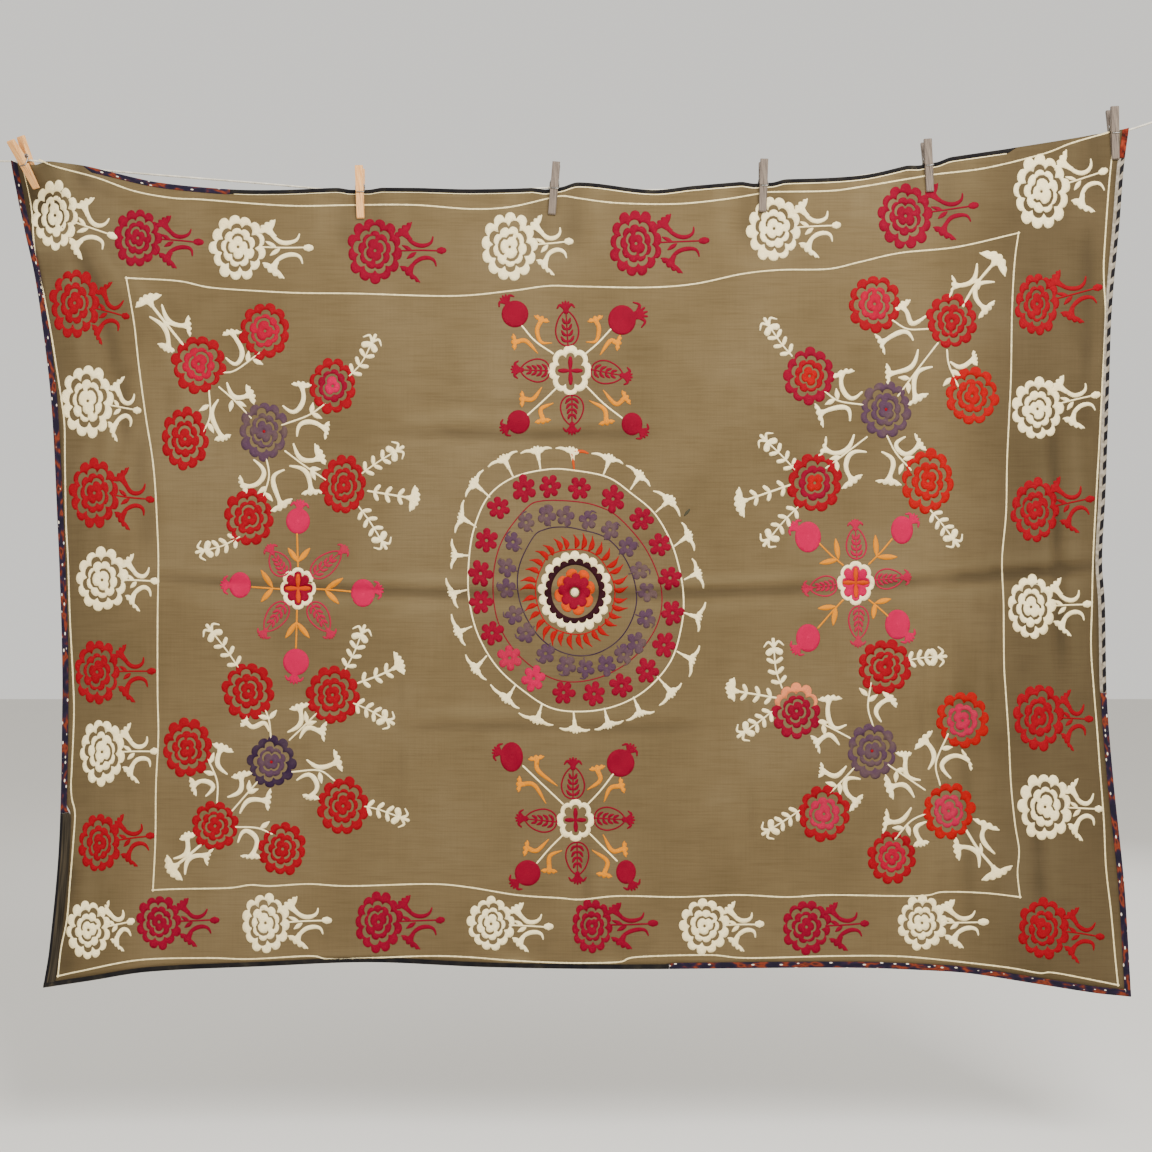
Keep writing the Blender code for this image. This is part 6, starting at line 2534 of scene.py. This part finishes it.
@dataclass(frozen=True)
class HandloomCotton:
    """Undyed-brown handloom cotton: matt, with slubs along the weft and soft old stains."""

    name: str = "khaki_handloom_cotton"
    thread: float = 1.3

    GROUND = ((0.3, "#594a30"), (0.5, "#625237"), (0.72, "#6b5b40"))
    SLUBS = ((0.32, "#e4e1da"), (0.56, "#ffffff"), (0.74, "#ffffff"))
    WARP = ((0.3, "#ecebe6"), (0.6, "#ffffff"))
    # Colours of the painted shade in the valleys of the folds and the painted highlight on their ridges.
    VALLEY, RIDGE = "#3d3220", "#7a6a4b"

    def material(self) -> bpy.types.Material:
        """Gives the eye a dull khaki cloth with streaky yarn, with painted shade in the valleys of its
        folds, painted highlight on their ridges, and painted shade towards both sides.
        """
        material, tree = new_material(self.name)
        where = add_node(tree, "ShaderNodeTexCoord").outputs["Object"]
        noises = []
        for stretch, detail, rough in (
            ((3.4, 3.4, 3.4), 4.0, 0.6), ((16.0, 1.0, 420.0), 3.0, 0.55), ((520.0, 1.0, 14.0), 2.0, 0.5),
        ):
            mapped = add_node(tree, "ShaderNodeMapping", values={"Scale": stretch}, links={"Vector": where})
            noises.append(add_node(
                tree, "ShaderNodeTexNoise", values={"Scale": 1.0, "Detail": detail, "Roughness": rough},
                links={"Vector": mapped.outputs[0]},
            ).outputs["Fac"])
        cloud, slub, warp = noises
        colour = add_node(tree, "ShaderNodeValToRGB", links={"Fac": cloud}, stops=self.GROUND).outputs[0]
        for yarn, stops, share in ((slub, self.SLUBS, 0.6), (warp, self.WARP, 0.35)):
            tone = add_node(tree, "ShaderNodeValToRGB", links={"Fac": yarn}, stops=stops)
            colour = add_node(
                tree, "ShaderNodeMix", data_type="RGBA", blend_type="MULTIPLY", values={0: share},
                links={6: colour, 7: tone.outputs[0]},
            ).outputs[2]
        # Painted shade in the valleys of the folds and painted highlight on their ridges, by how deep each
        # place lies in a valley.
        fold_shading = add_node(tree, "ShaderNodeAttribute", attribute_name="fold_shading").outputs["Fac"]
        for low, high, most, tint in ((0.05, 0.9, 0.55, self.VALLEY), (-0.05, -0.8, 0.35, self.RIDGE)):
            share = add_node(
                tree, "ShaderNodeMapRange", values={"From Min": low, "From Max": high, "To Max": most},
                links={"Value": fold_shading},
            )
            colour = add_node(
                tree, "ShaderNodeMix", data_type="RGBA", values={7: linear(tint)},
                links={0: share.outputs[0], 6: colour},
            ).outputs[2]
        # Painted shade: the cloth is darker towards both sides, from 510 mm to the right and 620 mm to the
        # left.
        parts = add_node(tree, "ShaderNodeSeparateXYZ", links={0: where})
        away = add_node(tree, "ShaderNodeMath", operation="ABSOLUTE", links={0: parts.outputs[0]})
        off = add_node(
            tree, "ShaderNodeMath", operation="MULTIPLY_ADD", values={1: 0.1},
            links={0: parts.outputs[0], 2: away.outputs[0]},
        )
        dull = add_node(
            tree, "ShaderNodeMapRange",
            values={"From Min": 0.56, "From Max": 0.7, "To Min": 1.0, "To Max": 0.68},
            links={"Value": off.outputs[0]},
        )
        toned = add_node(
            tree, "ShaderNodeMix", data_type="RGBA", blend_type="MULTIPLY", values={0: 1.0},
            links={6: colour, 7: dull.outputs[0]},
        )
        # Plain weave, drawn at 1.3 mm instead of about 0.4 mm so that it shows.
        turns = 2.0 * math.pi / (self.thread * MM)
        waves = []
        for axis in (0, 2):
            wave = add_node(
                tree, "ShaderNodeMath", operation="MULTIPLY", values={1: turns},
                links={0: parts.outputs[axis]},
            )
            waves.append(add_node(tree, "ShaderNodeMath", operation="SINE", links={0: wave.outputs[0]}))
        weave = add_node(
            tree, "ShaderNodeMath", operation="MULTIPLY",
            links={0: waves[0].outputs[0], 1: waves[1].outputs[0]},
        )
        height = add_node(
            tree, "ShaderNodeMath", operation="MULTIPLY_ADD", values={1: 0.12},
            links={0: weave.outputs[0], 2: slub},
        )
        relief = add_node(
            tree, "ShaderNodeBump", values={"Strength": 0.22, "Distance": 0.0005},
            links={"Height": height.outputs[0]},
        )
        dress(tree, toned.outputs[2], relief, 0.92, 0.15)
        return material


@dataclass(frozen=True)
class StitchedYarn:
    """Twisted cotton yarn worked in close rows: full colour, with a fine rib and a faint sheen."""

    yarn: Yarn
    row: float = 1.3

    def material(self) -> bpy.types.Material:
        """Gives the eye dense coloured stitching whose rows follow each shape's edge, with painted shade in
        the grooves between the rows.
        """
        colour, worn = self.yarn.value
        material, tree = new_material(f"{self.yarn.name.lower()}_stitched_yarn")
        where = add_node(tree, "ShaderNodeTexCoord").outputs["Object"]
        row = add_node(tree, "ShaderNodeAttribute", attribute_name="row").outputs["Fac"]
        fine, broad = (
            add_node(
                tree, "ShaderNodeTexNoise", values={"Scale": scale, "Detail": detail},
                links={"Vector": where},
            )
            for scale, detail in ((320.0, 2.0), (42.0, 3.0))
        )
        faded = self.yarn in (Yarn.FADED, Yarn.PURPLE, Yarn.SMUDGE)
        wear = add_node(
            tree, "ShaderNodeMapRange",
            values={"From Min": 0.42, "From Max": 0.68, "To Max": 0.75 if faded else 0.5},
            links={"Value": broad.outputs["Fac"]},
        )
        tint = add_node(
            tree, "ShaderNodeMix", data_type="RGBA", values={6: linear(colour), 7: linear(worn)},
            links={0: wear.outputs[0]},
        )
        sway = add_node(
            tree, "ShaderNodeMath", operation="MULTIPLY_ADD", values={1: 1.6},
            links={0: fine.outputs["Fac"], 2: row},
        )
        ribs = add_node(
            tree, "ShaderNodeMath", operation="MULTIPLY", values={1: 2.0 * math.pi / self.row},
            links={0: sway.outputs[0]},
        )
        rib = add_node(tree, "ShaderNodeMath", operation="SINE", links={0: ribs.outputs[0]})
        # Painted shade: the groove between rows of stitching is darkened down to 0.84 of the yarn's colour.
        groove = add_node(
            tree, "ShaderNodeMapRange", values={"From Min": -1.0, "From Max": 0.2, "To Min": 0.84},
            links={"Value": rib.outputs[0]},
        )
        shaded = add_node(
            tree, "ShaderNodeMix", data_type="RGBA", blend_type="MULTIPLY", values={0: 1.0},
            links={6: tint.outputs[2], 7: groove.outputs[0]},
        )
        relief = add_node(
            tree, "ShaderNodeBump", values={"Strength": 0.45, "Distance": 0.0005},
            links={"Height": rib.outputs[0]},
        )
        dress(tree, shaded.outputs[2], relief, 0.75, 0.1)
        return material


@dataclass(frozen=True)
class PrintedCotton:
    """Navy and rust printed cotton with small white drops, as sewn on worn cloths."""

    name: str = "navy_rust_printed_cotton"

    GROUND = ((0.4, "#171221"), (0.5, "#22172b"), (0.56, "#4f2016"), (0.62, "#742f1a"), (0.72, "#3a1a18"))

    def material(self) -> bpy.types.Material:
        """Gives the eye a dark strip with rust patches and small pale marks along it."""
        material, tree = new_material(self.name)
        uv = add_node(tree, "ShaderNodeUVMap", uv_map="along").outputs[0]
        wide, small = (
            add_node(tree, "ShaderNodeMapping", values={"Scale": scale}, links={"Vector": uv}).outputs[0]
            for scale in ((55.0, 120.0, 1.0), (85.0, 190.0, 1.0))
        )
        patches = add_node(
            tree, "ShaderNodeTexNoise", values={"Scale": 1.0, "Detail": 1.5}, links={"Vector": wide},
        )
        ground = add_node(
            tree, "ShaderNodeValToRGB", links={"Fac": patches.outputs["Fac"]}, stops=self.GROUND,
        )
        cells = add_node(
            tree, "ShaderNodeTexVoronoi", feature="F1", values={"Scale": 1.0, "Randomness": 0.75},
            links={0: small},
        )
        marks = add_node(
            tree, "ShaderNodeMapRange",
            values={"From Min": 0.17, "From Max": 0.23, "To Min": 1.0, "To Max": 0.0},
            links={"Value": cells.outputs["Distance"]},
        )
        drawn = add_node(
            tree, "ShaderNodeMix", data_type="RGBA", values={7: linear("#d8ccb8")},
            links={0: marks.outputs[0], 6: ground.outputs[0]},
        )
        dress(tree, drawn.outputs[2], fine_relief(tree, 900.0), 0.88, 0.15)
        return material


@dataclass(frozen=True)
class StripedBraid:
    """Woven braid: a pale selvage, then slanted black blocks about 21 mm from one to the next."""

    name: str = "black_cream_woven_braid"
    pitch: float = 21.5
    selvage: float = 3.4

    def material(self) -> bpy.types.Material:
        """Gives the eye a flat grey-beige braid whose outer part is blocked in black."""
        material, tree = new_material(self.name)
        uv = add_node(tree, "ShaderNodeUVMap", uv_map="along").outputs[0]
        parts = add_node(tree, "ShaderNodeSeparateXYZ", links={0: uv})
        slant = add_node(
            tree, "ShaderNodeMath", operation="MULTIPLY_ADD", values={1: 0.8},
            links={0: parts.outputs[1], 2: parts.outputs[0]},
        )
        noise = add_node(tree, "ShaderNodeTexNoise", values={"Scale": 160.0}, links={"Vector": uv})
        uneven = add_node(
            tree, "ShaderNodeMath", operation="MULTIPLY_ADD", values={1: 0.006},
            links={0: noise.outputs["Fac"], 2: slant.outputs[0]},
        )
        turns = add_node(
            tree, "ShaderNodeMath", operation="MULTIPLY", values={1: 2 * math.pi / (self.pitch * MM)},
            links={0: uneven.outputs[0]},
        )
        wave = add_node(tree, "ShaderNodeMath", operation="SINE", links={0: turns.outputs[0]})
        block, outer = (
            add_node(
                tree, "ShaderNodeMapRange", values={"From Min": low, "From Max": high},
                links={"Value": value},
            )
            for low, high, value in (
                (-0.5, -0.15, wave.outputs[0]),
                (self.selvage * MM, (self.selvage + 1.0) * MM, parts.outputs[1]),
            )
        )
        black = add_node(
            tree, "ShaderNodeMath", operation="MULTIPLY", links={0: block.outputs[0], 1: outer.outputs[0]},
        )
        pale = add_node(
            tree, "ShaderNodeValToRGB", links={"Fac": noise.outputs["Fac"]},
            stops=((0.35, "#756b5c"), (0.65, "#998f7f")),
        )
        tone = add_node(
            tree, "ShaderNodeMix", data_type="RGBA", values={7: linear("#141214")},
            links={0: black.outputs[0], 6: pale.outputs[0]},
        )
        dress(tree, tone.outputs[2], fine_relief(tree, 1000.0), 0.85, 0.15)
        return material


@dataclass(frozen=True)
class RubbedCotton:
    """Dark cotton rubbed to olive grey, black only along the fold of its outer edge."""

    name: str = "rubbed_dark_cotton"
    fold: float = 12.4

    def material(self) -> bpy.types.Material:
        """Gives the eye a dull olive-grey strip, streaked lengthwise, with a black rim."""
        material, tree = new_material(self.name)
        uv = add_node(tree, "ShaderNodeUVMap", uv_map="along").outputs[0]
        parts = add_node(tree, "ShaderNodeSeparateXYZ", links={0: uv})
        stretched = add_node(
            tree, "ShaderNodeMapping", values={"Scale": (14.0, 420.0, 1.0)}, links={"Vector": uv},
        )
        streaks = add_node(
            tree, "ShaderNodeTexNoise", values={"Scale": 1.0, "Detail": 3.0},
            links={"Vector": stretched.outputs[0]},
        )
        worn = add_node(
            tree, "ShaderNodeValToRGB", links={"Fac": streaks.outputs["Fac"]},
            stops=((0.34, "#1c1812"), (0.52, "#2f2920"), (0.7, "#443b2d")),
        )
        rim = add_node(
            tree, "ShaderNodeMapRange",
            values={"From Min": (self.fold - 1.0) * MM, "From Max": self.fold * MM},
            links={"Value": parts.outputs[1]},
        )
        tone = add_node(
            tree, "ShaderNodeMix", data_type="RGBA", values={7: linear("#131114")},
            links={0: rim.outputs[0], 6: worn.outputs[0]},
        )
        dress(tree, tone.outputs[2], fine_relief(tree, 1100.0), 0.9, 0.12)
        return material


@dataclass(frozen=True)
class Mottled:
    """A stuff with soft spots of a few tones, and a fine grain where it has one."""

    name: str
    scale: float
    tones: tuple[tuple[float, str], ...]
    roughness: float
    detail: float = 3.0
    specular: float = 0.12
    metallic: float = 0.0
    grain: float = 1100.0
    grain_depth: float = 0.3

    def material(self) -> bpy.types.Material:
        """Gives the eye what the stuff's own class says."""
        material, tree = new_material(self.name)
        where = add_node(tree, "ShaderNodeTexCoord").outputs["Object"]
        spots = add_node(
            tree, "ShaderNodeTexNoise", values={"Scale": self.scale, "Detail": self.detail},
            links={"Vector": where},
        )
        tone = add_node(
            tree, "ShaderNodeValToRGB", links={"Fac": spots.outputs["Fac"]}, stops=self.tones,
        )
        relief = fine_relief(tree, self.grain, self.grain_depth) if self.grain else None
        dress(tree, tone.outputs[0], relief, self.roughness, self.specular)
        tree.nodes["Principled BSDF"].inputs["Metallic"].default_value = self.metallic
        return material


@dataclass(frozen=True)
class BlackCotton(Mottled):
    """Washed black cotton: to the eye a nearly black matt strip, a little brown where it is rubbed."""

    name: str = "washed_black_cotton"
    scale: float = 60.0
    tones: tuple[tuple[float, str], ...] = ((0.35, "#0f0e11"), (0.6, "#1c1917"), (0.75, "#2c2820"))
    roughness: float = 0.9


@dataclass(frozen=True)
class RustCotton(Mottled):
    """A scrap of rust-red cotton: to the eye a small red corner patch, darker in places."""

    name: str = "rust_red_cotton"
    scale: float = 120.0
    tones: tuple[tuple[float, str], ...] = ((0.34, "#2a110e"), (0.46, "#621f12"), (0.7, "#86331e"))
    roughness: float = 0.9


@dataclass(frozen=True)
class TwistedCotton(Mottled):
    """White cotton clothesline, laid of three strands: to the eye an off-white matt cord."""

    name: str = "laid_cotton_line"
    scale: float = 90.0
    tones: tuple[tuple[float, str], ...] = ((0.35, "#c4bba7"), (0.65, "#e4dcc9"))
    roughness: float = 0.85
    detail: float = 2.0
    specular: float = 0.5
    grain: float = 2400.0
    grain_depth: float = 0.35


@dataclass(frozen=True)
class SpringSteel(Mottled):
    """Galvanised spring wire, dulled outdoors: to the eye a grey metal with a few darker spots."""

    name: str = "galvanised_spring_wire"
    scale: float = 700.0
    tones: tuple[tuple[float, str], ...] = ((0.35, "#6b645b"), (0.6, "#b5b2ac"))
    roughness: float = 0.42
    detail: float = 2.0
    specular: float = 0.5
    metallic: float = 1.0
    grain: float = 0.0


@dataclass(frozen=True)
class PegWood:
    """Planed peg wood: pale pine, or the same wood silvered by years outdoors."""

    wood: Wood

    TONES = {
        Wood.PINE: ((0.3, "#bd7c3c"), (0.5, "#dd9f5e"), (0.7, "#efbd7e")),
        Wood.GREY: ((0.3, "#453b33"), (0.5, "#6a5d52"), (0.7, "#857768")),
    }

    def material(self) -> bpy.types.Material:
        """Gives the eye long grain lines in a few tones of the wood."""
        material, tree = new_material(f"peg_{self.wood.value}")
        uv = add_node(tree, "ShaderNodeUVMap", uv_map="grain").outputs[0]
        long_way = add_node(
            tree, "ShaderNodeMapping", values={"Scale": (28.0, 850.0, 1.0)}, links={"Vector": uv},
        )
        grain = add_node(
            tree, "ShaderNodeTexNoise", values={"Scale": 1.0, "Detail": 4.0, "Distortion": 0.4},
            links={"Vector": long_way.outputs[0]},
        ).outputs["Fac"]
        tone = add_node(tree, "ShaderNodeValToRGB", links={"Fac": grain}, stops=self.TONES[self.wood])
        relief = add_node(
            tree, "ShaderNodeBump", values={"Strength": 0.4, "Distance": 0.0003}, links={"Height": grain},
        )
        dress(tree, tone.outputs[0], relief, 0.72, 0.3)
        return material


@dataclass
class Studio:
    """The camera, the pale floor and the soft lights. Sizes are in metres."""

    distance: float = 2.4
    sensor: float = 36.0
    floor_height: float = -1.42
    floor_reach: float = 9.0

    def camera(self) -> None:
        """Looks straight at the cloth, so that the view is VIEW pixels wide at its face."""
        lens = bpy.data.cameras.new("camera")
        lens.sensor_width = self.sensor
        face = self.distance - 0.007
        lens.lens = self.sensor * face / (VIEW * PIXEL * MM)
        made = bpy.data.objects.new("camera", lens)
        made.location = (0.0, -self.distance, (LINE_PIXEL[1] - VIEW / 2) * PIXEL * MM)
        made.rotation_euler = (math.pi / 2, 0.0, 0.0)
        bpy.context.scene.collection.objects.link(made)
        bpy.context.scene.camera = made

    def floor(self) -> None:
        """A plain pale floor."""
        material, tree = new_material("pale_matt_floor")
        shader = tree.nodes["Principled BSDF"]
        shader.inputs["Base Color"].default_value = linear("#d9d6d0")
        shader.inputs["Roughness"].default_value = 0.9
        reach, level = self.floor_reach, self.floor_height
        corners = [(x * reach, y * reach, level) for x, y in ((-1, -1), (1, -1), (1, 1), (-1, 1))]
        make_object("floor", corners, [(0, 1, 2, 3)], material, False)

    def light(self, name: str, place: Point, aim: Point, size: float, power: float) -> None:
        """One large soft light, aimed at a place."""
        lamp = bpy.data.lights.new(name, "AREA")
        lamp.size = size
        lamp.energy = power
        made = bpy.data.objects.new(name, lamp)
        made.location = place
        made.rotation_euler = (Vector(aim) - Vector(place)).to_track_quat("-Z", "Y").to_euler()
        bpy.context.scene.collection.objects.link(made)

    def build(self) -> None:
        """The lights, the floor and the pale surroundings."""
        self.floor()
        self.light("key", (0.75, -1.95, 1.1), (0.05, 0.0, -0.55), 1.2, 112.0)
        self.light("fill", (-2.2, -2.4, -0.2), (0.0, 0.0, -0.6), 2.4, 46.0)
        self.light("back", (0.9, 2.4, 0.5), (0.0, 0.0, -0.6), 2.4, 40.0)
        world = bpy.data.worlds.new("surroundings")
        world.use_nodes = True
        sky = world.node_tree.nodes["Background"]
        sky.inputs["Color"].default_value = linear("#e9e7e2")
        sky.inputs["Strength"].default_value = 1.15
        bpy.context.scene.world = world


def main() -> None:
    """Builds the camera, the line, the cloth with its stitching and edging, the pegs and the light."""
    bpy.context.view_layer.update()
    studio = Studio()
    studio.camera()
    line_finish = TwistedCotton().material()
    ClothesLine().build(line_finish)
    cloth = Cloth()
    sheet = cloth.build(HandloomCotton().material())
    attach(sheet, "root")
    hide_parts("cloth")
    LOG.info("cloth: %d points", len(sheet.data.vertices))
    finishes = {
        "print_edging": PrintedCotton().material(),
        "dark_edging": BlackCotton().material(),
        "braid_edging": StripedBraid().material(),
        "edging_left_dark": RubbedCotton().material(),
        "edging_right_corner": RustCotton().material(),
    }
    edging = Edging(cloth)
    for strip in STRIPS:
        band = edging.build(strip, finishes.get(strip.name, finishes[strip.slot]))
        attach(band, "root")
        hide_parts(strip.name)
        LOG.info("%s: %d points", band.name, len(band.data.vertices))
    yarns = {yarn: StitchedYarn(yarn).material() for yarn in Yarn}
    cord = TopCord(cloth).build(yarns[Yarn.CREAM])
    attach(cord, "root")
    work = Needlework(cloth)
    for motif in BORDER:
        work.add("border", motif.layers())
    for rosette in ROSETTES:
        work.add("sprays", rosette.layers())
    for spray in LINKS + TULIPS + SPRIGS:
        work.add("leaves", [(Yarn.CREAM, patch) for patch in spray.patches()])
    for cross in CROSSES:
        work.add("crosses", cross.layers())
    work.add("medallion", Medallion().layers())
    work.add("smudge", [(Yarn.SMUDGE, ribbon([(684.5, 515.5), (689.5, 509.5)], (1.4, 3.0, 1.6)))])
    for piece in work.build(lambda yarn: yarns[yarn]):
        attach(piece, "root")
        LOG.info("%s: %d points", piece.name, len(piece.data.vertices))
    chain = ChainStitch(cloth)
    for name, lines in (("chain_outer_line", OUTER_LINE), ("chain_inner_line", INNER_LINE)):
        row = chain.build(name, lines, yarns[Yarn.CREAM])
        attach(row, "root")
        LOG.info("%s: %d points", row.name, len(row.data.vertices))
    woods = {wood: PegWood(wood).material() for wood in Wood}
    steel = SpringSteel().material()
    maker = PegMaker()
    for peg in PEGS:
        for side in ("front", "back"):
            maker.leg(peg, side, woods[peg.wood])
        maker.spring(peg, steel)
        LOG.info("%s: two legs and a spring", peg.name)
    studio.build()


if __name__ == "__main__":
    main()
